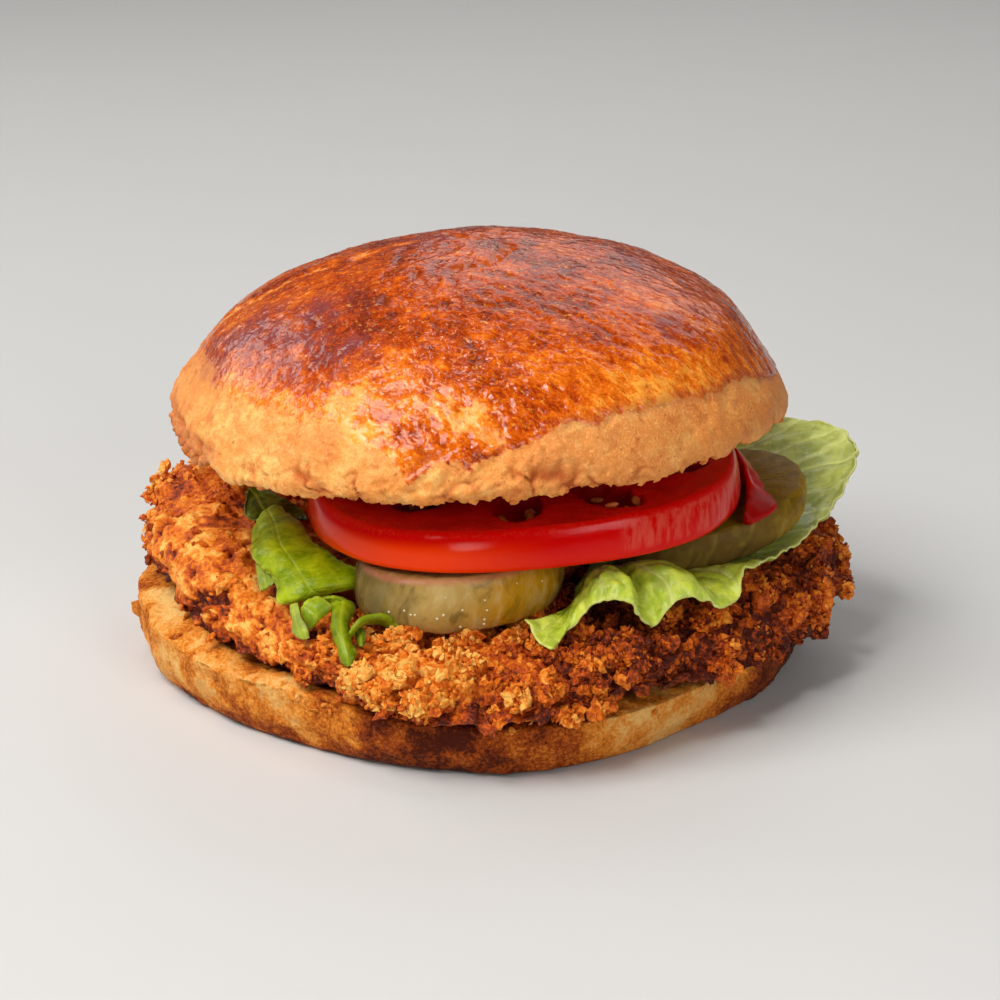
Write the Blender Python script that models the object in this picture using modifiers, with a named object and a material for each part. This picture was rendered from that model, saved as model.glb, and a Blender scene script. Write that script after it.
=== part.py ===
"""A chicken burger: a split bun, a crumbed cutlet, two lettuce leaves, two pickle rounds and tomato.

Every size below is in millimetres and is scaled to metres when a mesh is made. +Z is up. The
origin is on the flat underside of the heel, below the middle of the stack. The front of the
burger faces -Y.
"""

import math

import bmesh
import bpy
import numpy as np

MM = 0.001
GAP = 0.35                    # clear space kept between two pieces that touch
COLLECTION = "chicken_burger"
CUTTER_COLLECTION = "chicken_burger_cutters"

# Heel: the lower half of the bun.
HEEL_CENTRE = (-2.3, 0.0)
HEEL_CUT_HEIGHT = 9.4
HEEL_LEFT_LIFT = 2.4          # the left edge of the cut face curls up by this much
HEEL_LIFT_ACROSS = (30.0, 58.0)   # the curl grows between these distances to the left
HEEL_LIFT_ALONG = (-30.0, 0.0)    # and between these distances from the front
HEEL_RADII = (
    58.2, 57.2, 56.0, 55.4, 55.4, 56.0, 57.0, 57.4, 57.6,
    57.0, 55.0, 53.4, 52.8, 54.4, 57.0, 55.6, 54.2, 56.6,
)
# (share of the radius, share of the height), from the middle of the cut face round to the base
HEEL_PROFILE = (
    (0.0, 1.0), (0.5, 1.0), (0.62, 1.0), (0.74, 1.0), (0.86, 1.0), (0.965, 1.0), (1.0, 0.93),
    (1.0, 0.65), (0.99, 0.4), (0.97, 0.17), (0.935, 0.03), (0.9, 0.0), (0.5, 0.0), (0.0, 0.0),
)

# Cutlet: flattened chicken in crumbs. One radius, one shoulder height and one droop of the edge
# below the heel's cut face every 20 degrees.
CUTLET_RADII = (
    64.0, 63.0, 60.4, 58.0, 57.2, 58.6, 61.4, 64.0, 62.4,
    58.6, 54.6, 52.6, 54.2, 58.2, 58.8, 55.8, 56.2, 59.2,
)
CUTLET_SHOULDERS = (
    22.2, 23.2, 24.4, 25.0, 25.2, 26.0, 27.2, 28.8, 29.2,
    27.0, 24.6, 21.4, 19.8, 19.4, 19.4, 19.6, 20.0, 21.0,
)
CUTLET_DROOPS = (
    2.2, 1.6, 1.2, 1.0, 1.0, 1.0, 1.2, 1.4, 1.0,
    0.0, 0.0, 0.0, 1.4, 2.0, 2.0, 1.6, 2.2, 2.6,
)
CUTLET_MIDDLE_HEIGHT = 19.6
CUTLET_FLAT_TO = 0.28         # share of the radius out to which the top is level
CUTLET_SHOULDER_AT = 0.8      # share of the radius where the shoulder height holds
CUTLET_LIP_SHARE = 0.93       # the profile point that stays just outside the heel where it hangs over
CUTLET_LEAST_OVERHANG = 0.97  # no lip where the heel reaches past this share of the cutlet's radius
CUTLET_DROOP_REACH = 1.2      # the edge has drooped fully this far outside the lip
CUTLET_PROFILE = (
    (0.0, 1.0), (0.3, 1.0), (0.5, 1.0), (0.66, 1.0), (0.8, 1.0), (0.9, 0.94), (0.965, 0.78),
    (1.0, 0.52), (1.0, 0.28), (0.98, 0.07), (CUTLET_LIP_SHARE, 0.0), (0.84, 0.0), (0.73, 0.0),
    (0.61, 0.0), (0.5, 0.0), (0.0, 0.0),
)

# Crown: the domed upper half of the bun. One radius and one rim height every 30 degrees.
CROWN_CENTRE = (-0.8, 0.0)
CROWN_RADII = (53.6, 53.6, 53.4, 53.2, 53.4, 53.2, 52.7, 52.8, 53.0, 52.6, 53.2, 53.8)
CROWN_RIMS = (46.4, 44.6, 42.0, 40.4, 40.4, 42.4, 44.6, 43.2, 45.0, 46.6, 47.9, 48.6)
CROWN_TOP = 73.6
CROWN_SQUARENESS = 1.88       # exponent of the dome's outline, where 2 is an ellipse
CROWN_LEAN = 2.4              # the top of the dome sits this far to the right of the rim's middle
CROWN_DOME_RINGS = 12
CROWN_EDGE = (0.975, -0.055)  # the cut edge's share of the radius and of the dome's height
CROWN_UNDERSIDE_RINGS = (0.9, 0.78, 0.64, 0.5, 0.3, 0.0)
CROWN_UNDERSIDE_LEVEL = -0.08 # profile height that marks a point as part of the underside
CROWN_UNDERSIDE_RISE = 1.5    # the underside ends this far below the rim
CROWN_SAG = (0.52, 0.98)      # the underside climbs from the tomato to the rim between these shares

# Tomato: one thick slice, higher on the right.
SLICE_SLOPE = math.tan(math.radians(4.4))
SLICE_FLARE = 0.03            # the upper face is smaller than the lower face by this share
SLICE_ROUNDNESS = 0.25        # how far the skin bulges, as a share of the thickness
SLICE_CENTRE = (7.2, -9.3)
SLICE_RADIUS = 37.3
SLICE_THICKNESS = 6.8
SLICE_WEDGE = 0.02            # how much thicker the slice gets for each millimetre to the right
SLICE_TOP = 37.9              # height of its upper face over its own centre
SLICE_LOBES = ((3, 0.8, 338.0), (4, 0.5, 318.0), (5, 0.3, 245.0))
# A strip of rind and flesh lies against the right end of the slice, on the pickle, and ends in a
# soft tongue. A station is (direction from the slice's centre, width, height of its upper side).
STRIP_STATIONS = (
    (58.0, 1.6, 36.6), (45.0, 2.0, 36.8), (30.0, 2.2, 36.6), (15.0, 2.4, 36.2), (2.0, 2.8, 35.6),
    (-5.0, 3.4, 35.0), (-9.0, 4.6, 34.3), (-12.5, 5.2, 33.8), (-16.0, 3.8, 33.2), (-19.0, 1.8, 32.4),
)
STRIP_SECTIONS = 30           # mesh sections along the strip
STRIP_SIDES = 8               # points round a section
STRIP_SQUARENESS = 0.6        # exponent of a section's outline, where 1 is an ellipse
STRIP_TAPER = 0.35            # how much lower a section's outer side is, as a share of its height
# Seed pockets sunk in the slice's upper face: direction, reach, length, width, depth.
LOCULES = (
    (226.0, 22.0, 15.0, 8.5, 3.6), (268.0, 23.0, 15.0, 8.0, 3.2), (303.0, 24.0, 17.0, 8.5, 3.8),
    (342.0, 24.0, 15.0, 9.0, 3.6), (28.0, 22.0, 15.0, 9.0, 3.2), (80.0, 21.0, 15.0, 9.0, 3.2),
    (132.0, 21.0, 15.0, 9.0, 3.2), (180.0, 22.0, 15.0, 9.0, 3.2),
)
LOCULE_TAPER = 0.25           # a seed pocket is this much wider towards the skin

# Pickles: two thick rounds cut across a gherkin. Lobes are (count, height, phase) waves.
FRONT_PICKLE_CENTRE = (-3.2, -28.2)
FRONT_PICKLE_RADIUS = 17.0
FRONT_PICKLE_BASE = 20.1
FRONT_PICKLE_THICKNESS = 9.5
FRONT_PICKLE_TILT = (3.5, 0.0)    # degrees: right side up, near side down
RIGHT_PICKLE_CENTRE = (37.6, -5.2)
RIGHT_PICKLE_RADIUS = 17.6
RIGHT_PICKLE_TOP = 30.3
RIGHT_PICKLE_FLOOR = 22.0     # its lower side is pressed flat here on the leaf
RIGHT_PICKLE_THICKNESS = 6.2
RIGHT_PICKLE_TILT = (13.0, 5.0)
PICKLE_LOBES = ((2, 0.5, 40.0), (3, 0.35, 95.0))
PICKLE_ROUNDNESS = 0.22       # how far the peel bulges, as a share of the thickness

# Lettuce: each leaf is a strip of stations round the burger. A station is three points across the
# leaf, root, middle and edge, each a (direction, distance from the axis, height).
LEAF_THICKNESS = 0.7
LEAF_PICKLE_MARGIN = 1.6      # the leaf stays below the right pickle this far past its rim
RIGHT_LEAF = (
    ((300.0, 32.0, 20.6), (289.0, 41.0, 22.2), (279.5, 45.4, 22.6)),
    ((300.4, 31.5, 20.6), (290.0, 42.0, 22.4), (282.4, 52.0, 20.4)),
    ((300.8, 31.0, 20.6), (294.0, 41.2, 25.4), (288.0, 47.8, 22.2)),
    ((301.4, 30.5, 20.6), (296.5, 42.0, 28.4), (293.5, 49.5, 26.8)),
    ((302.2, 30.0, 20.6), (299.5, 43.6, 29.2), (298.5, 52.0, 26.0)),
    ((303.4, 29.0, 20.6), (303.0, 41.5, 25.0), (303.0, 50.5, 21.0)),
    ((306.0, 28.0, 20.6), (308.0, 43.0, 28.2), (308.0, 51.5, 25.0)),
    ((309.0, 27.0, 20.6), (313.0, 43.5, 27.6), (313.0, 53.5, 24.6)),
    ((312.0, 26.0, 20.6), (318.0, 43.0, 24.4), (318.0, 54.4, 22.4)),
    ((316.0, 25.0, 20.6), (324.5, 43.0, 24.0), (324.5, 53.0, 26.4)),
    ((324.0, 23.0, 20.6), (334.0, 44.0, 22.6), (334.0, 53.5, 25.4)),
    ((334.0, 22.0, 20.6), (345.0, 47.0, 23.6), (345.0, 56.0, 25.6)),
    ((348.0, 22.0, 20.8), (357.0, 52.0, 25.0), (357.0, 60.2, 28.0)),
    ((366.0, 24.0, 21.2), (368.0, 56.5, 28.4), (368.0, 66.3, 32.8)),
    ((380.0, 30.0, 21.8), (377.0, 56.0, 30.4), (377.0, 65.0, 34.6)),
    ((394.0, 36.0, 22.8), (392.0, 48.0, 28.6), (390.0, 57.0, 33.2)),
)
LEFT_LEAF = (
    ((172.0, 27.0, 24.8), (172.0, 34.0, 26.4), (172.0, 41.0, 27.4)),
    ((183.0, 27.0, 24.2), (183.0, 33.0, 27.0), (183.0, 39.5, 27.6)),
    ((193.0, 27.0, 23.6), (193.0, 34.5, 27.8), (193.0, 39.8, 28.0)),
    ((202.0, 27.0, 22.8), (204.0, 35.5, 27.6), (204.0, 42.0, 25.8)),
    ((210.0, 28.0, 22.2), (213.0, 36.5, 26.6), (214.0, 44.5, 23.8)),
    ((216.0, 29.0, 21.6), (221.0, 37.0, 25.8), (224.0, 46.8, 22.2)),
    ((221.0, 30.5, 21.2), (228.0, 38.5, 25.0), (231.5, 45.0, 23.6)),
    ((225.0, 32.0, 21.0), (233.0, 41.0, 23.8), (237.5, 51.5, 20.6)),
    ((229.0, 33.6, 21.0), (238.0, 42.5, 23.4), (243.0, 47.0, 21.8)),
    ((232.5, 35.2, 21.0), (242.0, 44.5, 22.4), (248.5, 55.5, 20.2)),
    ((235.5, 37.0, 21.0), (245.0, 44.8, 21.8), (253.5, 49.4, 21.6)),
)
LEAF_ROWS = 6                 # mesh rows across a leaf
LEAF_COLUMNS = 44             # mesh columns along a leaf
SHARP_DEGREES = 50.0          # faces that meet at more than this angle are shaded as a crease

SIDE_ROWS = 4                 # mesh rows down the side of the tomato slice and of a pickle
BUN_STEPS = 60
CUTLET_STEPS = 72
SLICE_STEPS = 54
PICKLE_STEPS = 40

# Colour, roughness of each piece.
FINISHES = {
    "bottom_bun": ((0.72, 0.46, 0.22), 0.7),
    "chicken_cutlet": ((0.55, 0.24, 0.07), 0.6),
    "lettuce_left": ((0.30, 0.48, 0.09), 0.45),
    "lettuce_right": ((0.42, 0.56, 0.20), 0.45),
    "pickle_front": ((0.36, 0.36, 0.10), 0.3),
    "pickle_right": ((0.33, 0.34, 0.09), 0.3),
    "tomato_slice": ((0.62, 0.03, 0.015), 0.2),
    "tomato_strip": ((0.50, 0.03, 0.02), 0.2),
    "top_bun": ((0.55, 0.22, 0.07), 0.3),
}


def smooth(share):
    """An S-curve from 0 to 1 for a share between 0 and 1."""
    share = min(max(share, 0.0), 1.0)
    return share * share * (3.0 - 2.0 * share)


def smooth_between(value, limits):
    """An S-curve from 0 at the first limit to 1 at the second."""
    return smooth((value - limits[0]) / (limits[1] - limits[0]))


def round_ring(degrees, stations):
    """Reads evenly spaced stations round a ring at any direction, on a smooth closed curve."""
    place = (degrees % 360.0) / 360.0 * len(stations)
    index = int(place)
    share = place - index
    before, start, end, after = (stations[(index + k) % len(stations)] for k in (-1, 0, 1, 2))
    bend = (2 * before - 5 * start + 4 * end - after) * share
    twist = (3 * start - before - 3 * end + after) * share * share
    return 0.5 * (2 * start + share * (end - before + bend + twist))


def read_along(stations, share):
    """Reads a row of stations at a share of the way along it, on a smooth open curve."""
    place = share * (len(stations) - 1)
    index = min(int(place), len(stations) - 2)
    part = place - index
    before, start, end, after = (
        stations[min(max(index + k, 0), len(stations) - 1)] for k in (-1, 0, 1, 2)
    )
    bend = (2 * before - 5 * start + 4 * end - after) * part
    twist = (3 * start - before - 3 * end + after) * part * part
    return 0.5 * (2 * start + part * (end - before + bend + twist))


def direction_of(x, y):
    """The direction of a point seen from the axis, in degrees."""
    return math.degrees(math.atan2(y, x))


def lobed(radius, lobes, degrees):
    """A round outline with (count, height, phase) waves on it."""
    return radius + sum(
        height * math.cos(math.radians(count * (degrees - phase))) for count, height, phase in lobes
    )


def slice_height(x):
    """How far the slice's upper face has climbed at x, from zero over its centre."""
    return SLICE_SLOPE * (x - SLICE_CENTRE[0])


def heel_top(x, y):
    """Height of the heel's cut face, which curls up on the left."""
    across = smooth_between(-x, HEEL_LIFT_ACROSS)
    return HEEL_CUT_HEIGHT + HEEL_LEFT_LIFT * across * smooth_between(y, HEEL_LIFT_ALONG)


def clear_scene():
    """Removes every object, so that the script starts from an empty scene."""
    for obj in list(bpy.data.objects):
        bpy.data.objects.remove(obj, do_unlink=True)


def new_collection(name, hidden=False):
    """A collection linked to the scene, hidden in renders for the cutters."""
    group = bpy.data.collections.new(name)
    group.hide_render = hidden
    bpy.context.scene.collection.children.link(group)
    return group


def make_material(name):
    """The Principled material of a piece."""
    colour, roughness = FINISHES[name]
    material = bpy.data.materials.new(name)
    material.use_nodes = True
    shader = material.node_tree.nodes["Principled BSDF"]
    shader.inputs["Base Color"].default_value = (*colour, 1.0)
    shader.inputs["Roughness"].default_value = roughness
    shader.inputs["Metallic"].default_value = 0.0
    return material


def add_object(name, mesh, group):
    """Puts a mesh in the scene as a smooth-shaded object."""
    obj = bpy.data.objects.new(name, mesh)
    group.objects.link(obj)
    if name in FINISHES:
        mesh.materials.append(make_material(name))
    mesh.shade_smooth()
    mesh.set_sharp_from_angle(angle=math.radians(SHARP_DEGREES))
    return obj


def turned_mesh(name, profile, steps):
    """Turns a profile of unit radius and unit height about Z with a Screw modifier."""
    mesh = bpy.data.meshes.new(name)
    points = [(radius, 0.0, height) for radius, height in profile]
    mesh.from_pydata(points, [(k, k + 1) for k in range(len(points) - 1)], [])
    blank = bpy.data.objects.new(name + "_profile", mesh)
    bpy.context.scene.collection.objects.link(blank)
    screw = blank.modifiers.new("turn", "SCREW")
    screw.steps = steps
    screw.render_steps = steps
    screw.use_merge_vertices = True
    screw.merge_threshold = 1e-4
    screw.use_smooth_shade = True
    graph = bpy.context.evaluated_depsgraph_get()
    turned = bpy.data.meshes.new_from_object(blank.evaluated_get(graph))
    turned.name = name
    bpy.data.objects.remove(blank, do_unlink=True)
    bpy.data.meshes.remove(mesh)
    return turned


def turned_piece(name, profile, steps, rule, group):
    """A turned body whose unit profile a rule stretches to the real outline, in millimetres."""
    mesh = turned_mesh(name, profile, steps)
    for vertex in mesh.vertices:
        x, y, height = vertex.co
        share = math.hypot(x, y)
        vertex.co = [MM * value for value in rule(share, direction_of(x, y), height)]
    return add_object(name, mesh, group)


def tube_piece(name, sections, group):
    """A closed body lofted through rings of points, in millimetres, with its two ends capped."""
    shape = bmesh.new()
    rings = [[shape.verts.new(MM * np.array(point)) for point in section] for section in sections]
    for here, there in zip(rings, rings[1:]):
        for side, corner in enumerate(here):
            after = (side + 1) % len(here)
            shape.faces.new((corner, here[after], there[after], there[side]))
    for ring in (rings[0], rings[-1]):
        shape.faces.new(ring)
    bmesh.ops.recalc_face_normals(shape, faces=shape.faces)
    mesh = bpy.data.meshes.new(name)
    shape.to_mesh(mesh)
    shape.free()
    return add_object(name, mesh, group)


def polar(centre, radius, degrees):
    """The point at a distance and a direction from a centre."""
    angle = math.radians(degrees)
    return centre[0] + radius * math.cos(angle), centre[1] + radius * math.sin(angle)


def build_heel(group):
    """The heel: a flat base, a flared pale side and a toasted cut face."""

    def rule(share, degrees, height):
        x, y = polar(HEEL_CENTRE, share * round_ring(degrees, HEEL_RADII), degrees)
        return x, y, height * heel_top(x, y)

    return turned_piece("bottom_bun", HEEL_PROFILE, BUN_STEPS, rule, group)


def cutlet_top(x, y):
    """Height of the cutlet's upper face at a point."""
    degrees = direction_of(x, y)
    share = math.hypot(x, y) / round_ring(degrees, CUTLET_RADII)
    climb = smooth((share - CUTLET_FLAT_TO) / (CUTLET_SHOULDER_AT - CUTLET_FLAT_TO))
    return CUTLET_MIDDLE_HEIGHT + climb * (round_ring(degrees, CUTLET_SHOULDERS) - CUTLET_MIDDLE_HEIGHT)


def heel_reach(degrees):
    """Distance from the axis to the heel's widest ring, with its off-centre middle allowed for."""
    reach = HEEL_RADII[0]
    for _ in range(4):
        x, y = polar((0.0, 0.0), reach, degrees)
        from_centre = direction_of(x - HEEL_CENTRE[0], y - HEEL_CENTRE[1])
        reach += round_ring(from_centre, HEEL_RADII) - math.dist((x, y), HEEL_CENTRE)
    return reach


def build_cutlet(group):
    """The cutlet: an uneven flat body whose edge bulges over the heel."""

    def rule(share, degrees, height):
        reach = round_ring(degrees, CUTLET_RADII)
        edge = heel_reach(degrees) + 2.0 * GAP
        radius = share * reach
        if math.isclose(share, CUTLET_LIP_SHARE, abs_tol=0.005) and edge < CUTLET_LEAST_OVERHANG * reach:
            radius = edge
        x, y = polar((0.0, 0.0), radius, degrees)
        low = heel_top(x, y) + GAP
        droop = round_ring(degrees, CUTLET_DROOPS) * smooth((radius - edge - 0.1) / CUTLET_DROOP_REACH)
        return x, y, low - (1.0 - height) * droop + height * (cutlet_top(x, y) - low)

    return turned_piece("chicken_cutlet", CUTLET_PROFILE, CUTLET_STEPS, rule, group)


def crown_profile():
    """The dome as a superellipse from its top to its widest ring, then the cut edge and underside."""
    profile = []
    for ring in range(CROWN_DOME_RINGS + 1):
        radius = math.sin(0.5 * math.pi * ring / CROWN_DOME_RINGS)
        height = (1.0 - radius ** CROWN_SQUARENESS) ** (1.0 / CROWN_SQUARENESS)
        profile.append((radius, height))
    profile.append(CROWN_EDGE)
    profile.extend((radius, CROWN_UNDERSIDE_LEVEL) for radius in CROWN_UNDERSIDE_RINGS)
    return profile


def crown_underside(x, y, rim):
    """Height of the crown's soft underside, which bulges down until it rests on the tomato."""
    reach = math.dist((x, y), CROWN_CENTRE) / CROWN_RADII[0]
    rest = SLICE_TOP + slice_height(x) + GAP
    return rest + (rim - rest) * smooth_between(reach, CROWN_SAG)


def build_crown(group):
    """The crown: a dome with an uneven rim and a soft underside."""

    def rule(share, degrees, height):
        x, y = polar(CROWN_CENTRE, share * round_ring(degrees, CROWN_RADII), degrees)
        rim = round_ring(degrees, CROWN_RIMS)
        if height > 0.5 * (CROWN_EDGE[1] + CROWN_UNDERSIDE_LEVEL):
            return x + CROWN_LEAN * max(height, 0.0), y, rim + height * (CROWN_TOP - rim)
        return x, y, crown_underside(x, y, rim - CROWN_UNDERSIDE_RISE)

    return turned_piece("top_bun", crown_profile(), BUN_STEPS, rule, group)


def slice_profile(radius, roundness, flare=0.0):
    """A disc of unit radius and unit height with a rounded side that may flare towards the bottom."""
    bulge = roundness / radius
    profile = [(0.0, 1.0), (0.45, 1.0), (0.8, 1.0)]
    for row in range(SIDE_ROWS + 1):
        angle = math.pi * (0.5 - row / SIDE_ROWS)
        side = 1.0 - bulge * (1.0 - math.cos(angle)) - 0.5 * flare * (1.0 + math.sin(angle))
        profile.append((side, 0.5 + 0.5 * math.sin(angle)))
    profile.extend([(0.8, 0.0), (0.45, 0.0), (0.0, 0.0)])
    return profile


def slice_reach(degrees):
    """Radius of the tomato slice in a direction."""
    return lobed(SLICE_RADIUS, SLICE_LOBES, degrees)


def build_slice(group):
    """The thick tomato slice, tilted up to the right."""

    def rule(share, degrees, height):
        x, y = polar(SLICE_CENTRE, share * slice_reach(degrees), degrees)
        thickness = SLICE_THICKNESS + SLICE_WEDGE * (x - SLICE_CENTRE[0])
        return x, y, SLICE_TOP + slice_height(x) - (1.0 - height) * thickness

    profile = slice_profile(SLICE_RADIUS, SLICE_ROUNDNESS * SLICE_THICKNESS, SLICE_FLARE)
    return turned_piece("tomato_slice", profile, SLICE_STEPS, rule, group)


def build_strip(group):
    """The tomato strip: a tube of flat oval sections that hugs the slice and rests on the pickle."""
    sections = []
    for index in range(STRIP_SECTIONS + 1):
        degrees, width, top = read_along(np.array(STRIP_STATIONS), index / STRIP_SECTIONS)
        inner = slice_reach(degrees) + GAP
        middle = inner + 0.5 * width
        section = []
        for side in range(STRIP_SIDES):
            angle = 2.0 * math.pi * side / STRIP_SIDES
            across = math.copysign(abs(math.cos(angle)) ** STRIP_SQUARENESS, math.cos(angle))
            up = 0.5 + 0.5 * math.copysign(abs(math.sin(angle)) ** STRIP_SQUARENESS, math.sin(angle))
            x, y = polar(SLICE_CENTRE, middle + 0.5 * width * across, degrees)
            low = pickle_face(x, y) + GAP
            section.append((x, y, low + up * (top - low) * (1.0 - STRIP_TAPER * across)))
        sections.append(section)
    return tube_piece("tomato_strip", sections, group)


def add_locules(tomato, cutters):
    """Sinks the seed pockets into the slice with one joined cutter of ellipsoids."""
    mesh = bpy.data.meshes.new("locule_cutter")
    shape = bmesh.new()
    for degrees, reach, length, width, depth in LOCULES:
        x, y = polar(SLICE_CENTRE, reach, degrees)
        made = bmesh.ops.create_uvsphere(shape, u_segments=14, v_segments=8, radius=1.0)
        turn = math.radians(degrees)
        for vertex in made["verts"]:
            along, across, up = vertex.co
            along *= 0.5 * length
            across *= 0.5 * width * (1.0 + LOCULE_TAPER * along / length)
            px = x + along * math.cos(turn) - across * math.sin(turn)
            py = y + along * math.sin(turn) + across * math.cos(turn)
            vertex.co = (MM * px, MM * py, MM * (SLICE_TOP + slice_height(px) + up * depth))
    shape.to_mesh(mesh)
    shape.free()
    cutter = add_object("locule_cutter", mesh, cutters)
    cutter.hide_render = True
    cutter.display_type = "WIRE"
    cut = tomato.modifiers.new("seed pockets", "BOOLEAN")
    cut.operation = "DIFFERENCE"
    cut.object = cutter
    cut.solver = "EXACT"
    cut.use_self = False


def pickle_face(x, y):
    """Height of the right pickle's cut face, carried on as a plane past its rim."""
    roll, pitch = (math.tan(math.radians(degrees)) for degrees in RIGHT_PICKLE_TILT)
    return RIGHT_PICKLE_TOP + roll * (x - RIGHT_PICKLE_CENTRE[0]) + pitch * (y - RIGHT_PICKLE_CENTRE[1])


def build_pickle(name, centre, radius, base, thickness, tilt, floor, group):
    """One round of pickle with a slightly bulging peel, tilted up to the right and down to the front."""
    roll, pitch = (math.tan(math.radians(degrees)) for degrees in tilt)

    def rule(share, degrees, height):
        x, y = polar(centre, share * lobed(radius, PICKLE_LOBES, degrees), degrees)
        lift = roll * (x - centre[0]) + pitch * (y - centre[1])
        return x, y, max(base + height * thickness + lift, floor)

    profile = slice_profile(radius, PICKLE_ROUNDNESS * thickness)
    return turned_piece(name, profile, PICKLE_STEPS, rule, group)


def leaf_point(stations, u, v):
    """A point of the leaf at a share u along it and a share v across it, from root to edge."""
    root, middle, edge = read_along(stations, u)
    bow = 2.0 * middle - 0.5 * (root + edge)
    degrees, radius, height = (1 - v) ** 2 * root + 2 * v * (1 - v) * bow + v * v * edge
    x, y = polar((0.0, 0.0), radius, degrees)
    half = 0.5 * LEAF_THICKNESS + GAP
    if math.dist((x, y), RIGHT_PICKLE_CENTRE) < RIGHT_PICKLE_RADIUS + LEAF_PICKLE_MARGIN:
        underside = max(pickle_face(x, y) - RIGHT_PICKLE_THICKNESS, RIGHT_PICKLE_FLOOR)
        height = min(height, underside - half)
    return x, y, max(height, cutlet_top(x, y) + half)


def build_leaf(name, table, group):
    """A leaf: an open sheet lofted through its stations, thickened with Solidify."""
    stations = np.array(table)
    shape = bmesh.new()
    grid = [
        [
            shape.verts.new(MM * np.array(leaf_point(stations, column / LEAF_COLUMNS, row / LEAF_ROWS)))
            for row in range(LEAF_ROWS + 1)
        ]
        for column in range(LEAF_COLUMNS + 1)
    ]
    for here, there in zip(grid, grid[1:]):
        for row in range(LEAF_ROWS):
            shape.faces.new((here[row], here[row + 1], there[row + 1], there[row]))
    mesh = bpy.data.meshes.new(name)
    shape.to_mesh(mesh)
    shape.free()
    leaf = add_object(name, mesh, group)
    thicken = leaf.modifiers.new("leaf thickness", "SOLIDIFY")
    thicken.thickness = MM * LEAF_THICKNESS
    thicken.offset = 0.0
    return leaf


def main():
    """Builds the burger from the heel up."""
    clear_scene()
    burger = new_collection(COLLECTION)
    cutters = new_collection(CUTTER_COLLECTION, hidden=True)
    build_heel(burger)
    build_cutlet(burger)
    build_leaf("lettuce_left", LEFT_LEAF, burger)
    build_leaf("lettuce_right", RIGHT_LEAF, burger)
    build_pickle(
        "pickle_front", FRONT_PICKLE_CENTRE, FRONT_PICKLE_RADIUS, FRONT_PICKLE_BASE,
        FRONT_PICKLE_THICKNESS, FRONT_PICKLE_TILT, FRONT_PICKLE_BASE, burger,
    )
    build_pickle(
        "pickle_right", RIGHT_PICKLE_CENTRE, RIGHT_PICKLE_RADIUS,
        RIGHT_PICKLE_TOP - RIGHT_PICKLE_THICKNESS, RIGHT_PICKLE_THICKNESS, RIGHT_PICKLE_TILT,
        RIGHT_PICKLE_FLOOR, burger,
    )
    add_locules(build_slice(burger), cutters)
    build_strip(burger)
    build_crown(burger)


main()
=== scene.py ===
"""Looks of a chicken burger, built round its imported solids.

Every layer is rebuilt as a fine skin over its solid: baked crust, fried crumbs, leaf, pickle and
tomato. Sizes are in millimetres in the burger's own frame, and are turned into metres when a mesh
is made. Directions are in degrees round the stack: 0 is the right, 270 is the front.
"""

import logging
import math
from dataclasses import dataclass, field
from enum import Enum
from typing import Sequence

import bmesh
import bpy
import numpy as np
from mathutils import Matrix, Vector


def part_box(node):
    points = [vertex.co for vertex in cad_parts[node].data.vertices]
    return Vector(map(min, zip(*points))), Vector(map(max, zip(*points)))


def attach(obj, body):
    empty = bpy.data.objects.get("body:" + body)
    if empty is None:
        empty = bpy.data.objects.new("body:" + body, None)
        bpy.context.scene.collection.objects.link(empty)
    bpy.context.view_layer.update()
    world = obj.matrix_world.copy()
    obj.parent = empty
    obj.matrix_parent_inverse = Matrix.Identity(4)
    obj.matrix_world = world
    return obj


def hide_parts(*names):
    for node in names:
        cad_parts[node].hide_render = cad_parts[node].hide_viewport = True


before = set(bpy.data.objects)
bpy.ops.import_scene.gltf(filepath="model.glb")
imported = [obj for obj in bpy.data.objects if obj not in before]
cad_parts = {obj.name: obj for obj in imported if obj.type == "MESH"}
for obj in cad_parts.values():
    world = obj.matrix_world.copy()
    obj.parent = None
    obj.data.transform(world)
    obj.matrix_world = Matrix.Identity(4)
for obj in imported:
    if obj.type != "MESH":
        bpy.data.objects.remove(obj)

MM = 0.001
Array = np.ndarray
Colour = tuple[float, float, float]
Point = tuple[float, float, float]
Node = bpy.types.Node
Socket = bpy.types.NodeSocket
log = logging.getLogger("burger")


# -------------------- numbers


def ease(share: Array | float) -> Array:
    """An S-curve from 0 to 1 for shares between 0 and 1."""
    share = np.clip(share, 0, 1)
    return share * share * (3 - 2 * share)


def rise(value: Array | float, low: float, high: float) -> Array:
    """An S-curve from 0 where the value is at low to 1 where it is at high."""
    return ease((np.asarray(value, float) - low) / (high - low))


def hump(value: Array, middle: float, width: float) -> Array:
    """A soft bump of height 1 round a middle value."""
    return np.exp(-(((value - middle) / width) ** 2))


def turn_gap(degrees: Array, middle: float) -> Array:
    """How far directions are from a middle direction, from -180 to 180 degrees."""
    return (degrees - middle + 180) % 360 - 180


def sector(degrees: Array, start: float, end: float, soft: float) -> Array:
    """A mask that is 1 between two directions and fades out over a soft margin.

    Args:
        degrees: directions to test.
        start: direction where the sector starts.
        end: direction where it ends, larger than start.
        soft: how many degrees the edge takes to fade.

    Returns:
        The mask at every direction.
    """
    half = 0.5 * (end - start)
    gap = np.abs(turn_gap(degrees, start + half))
    return 1 - rise(gap, half - 0.5 * soft, half + 0.5 * soft)


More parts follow.
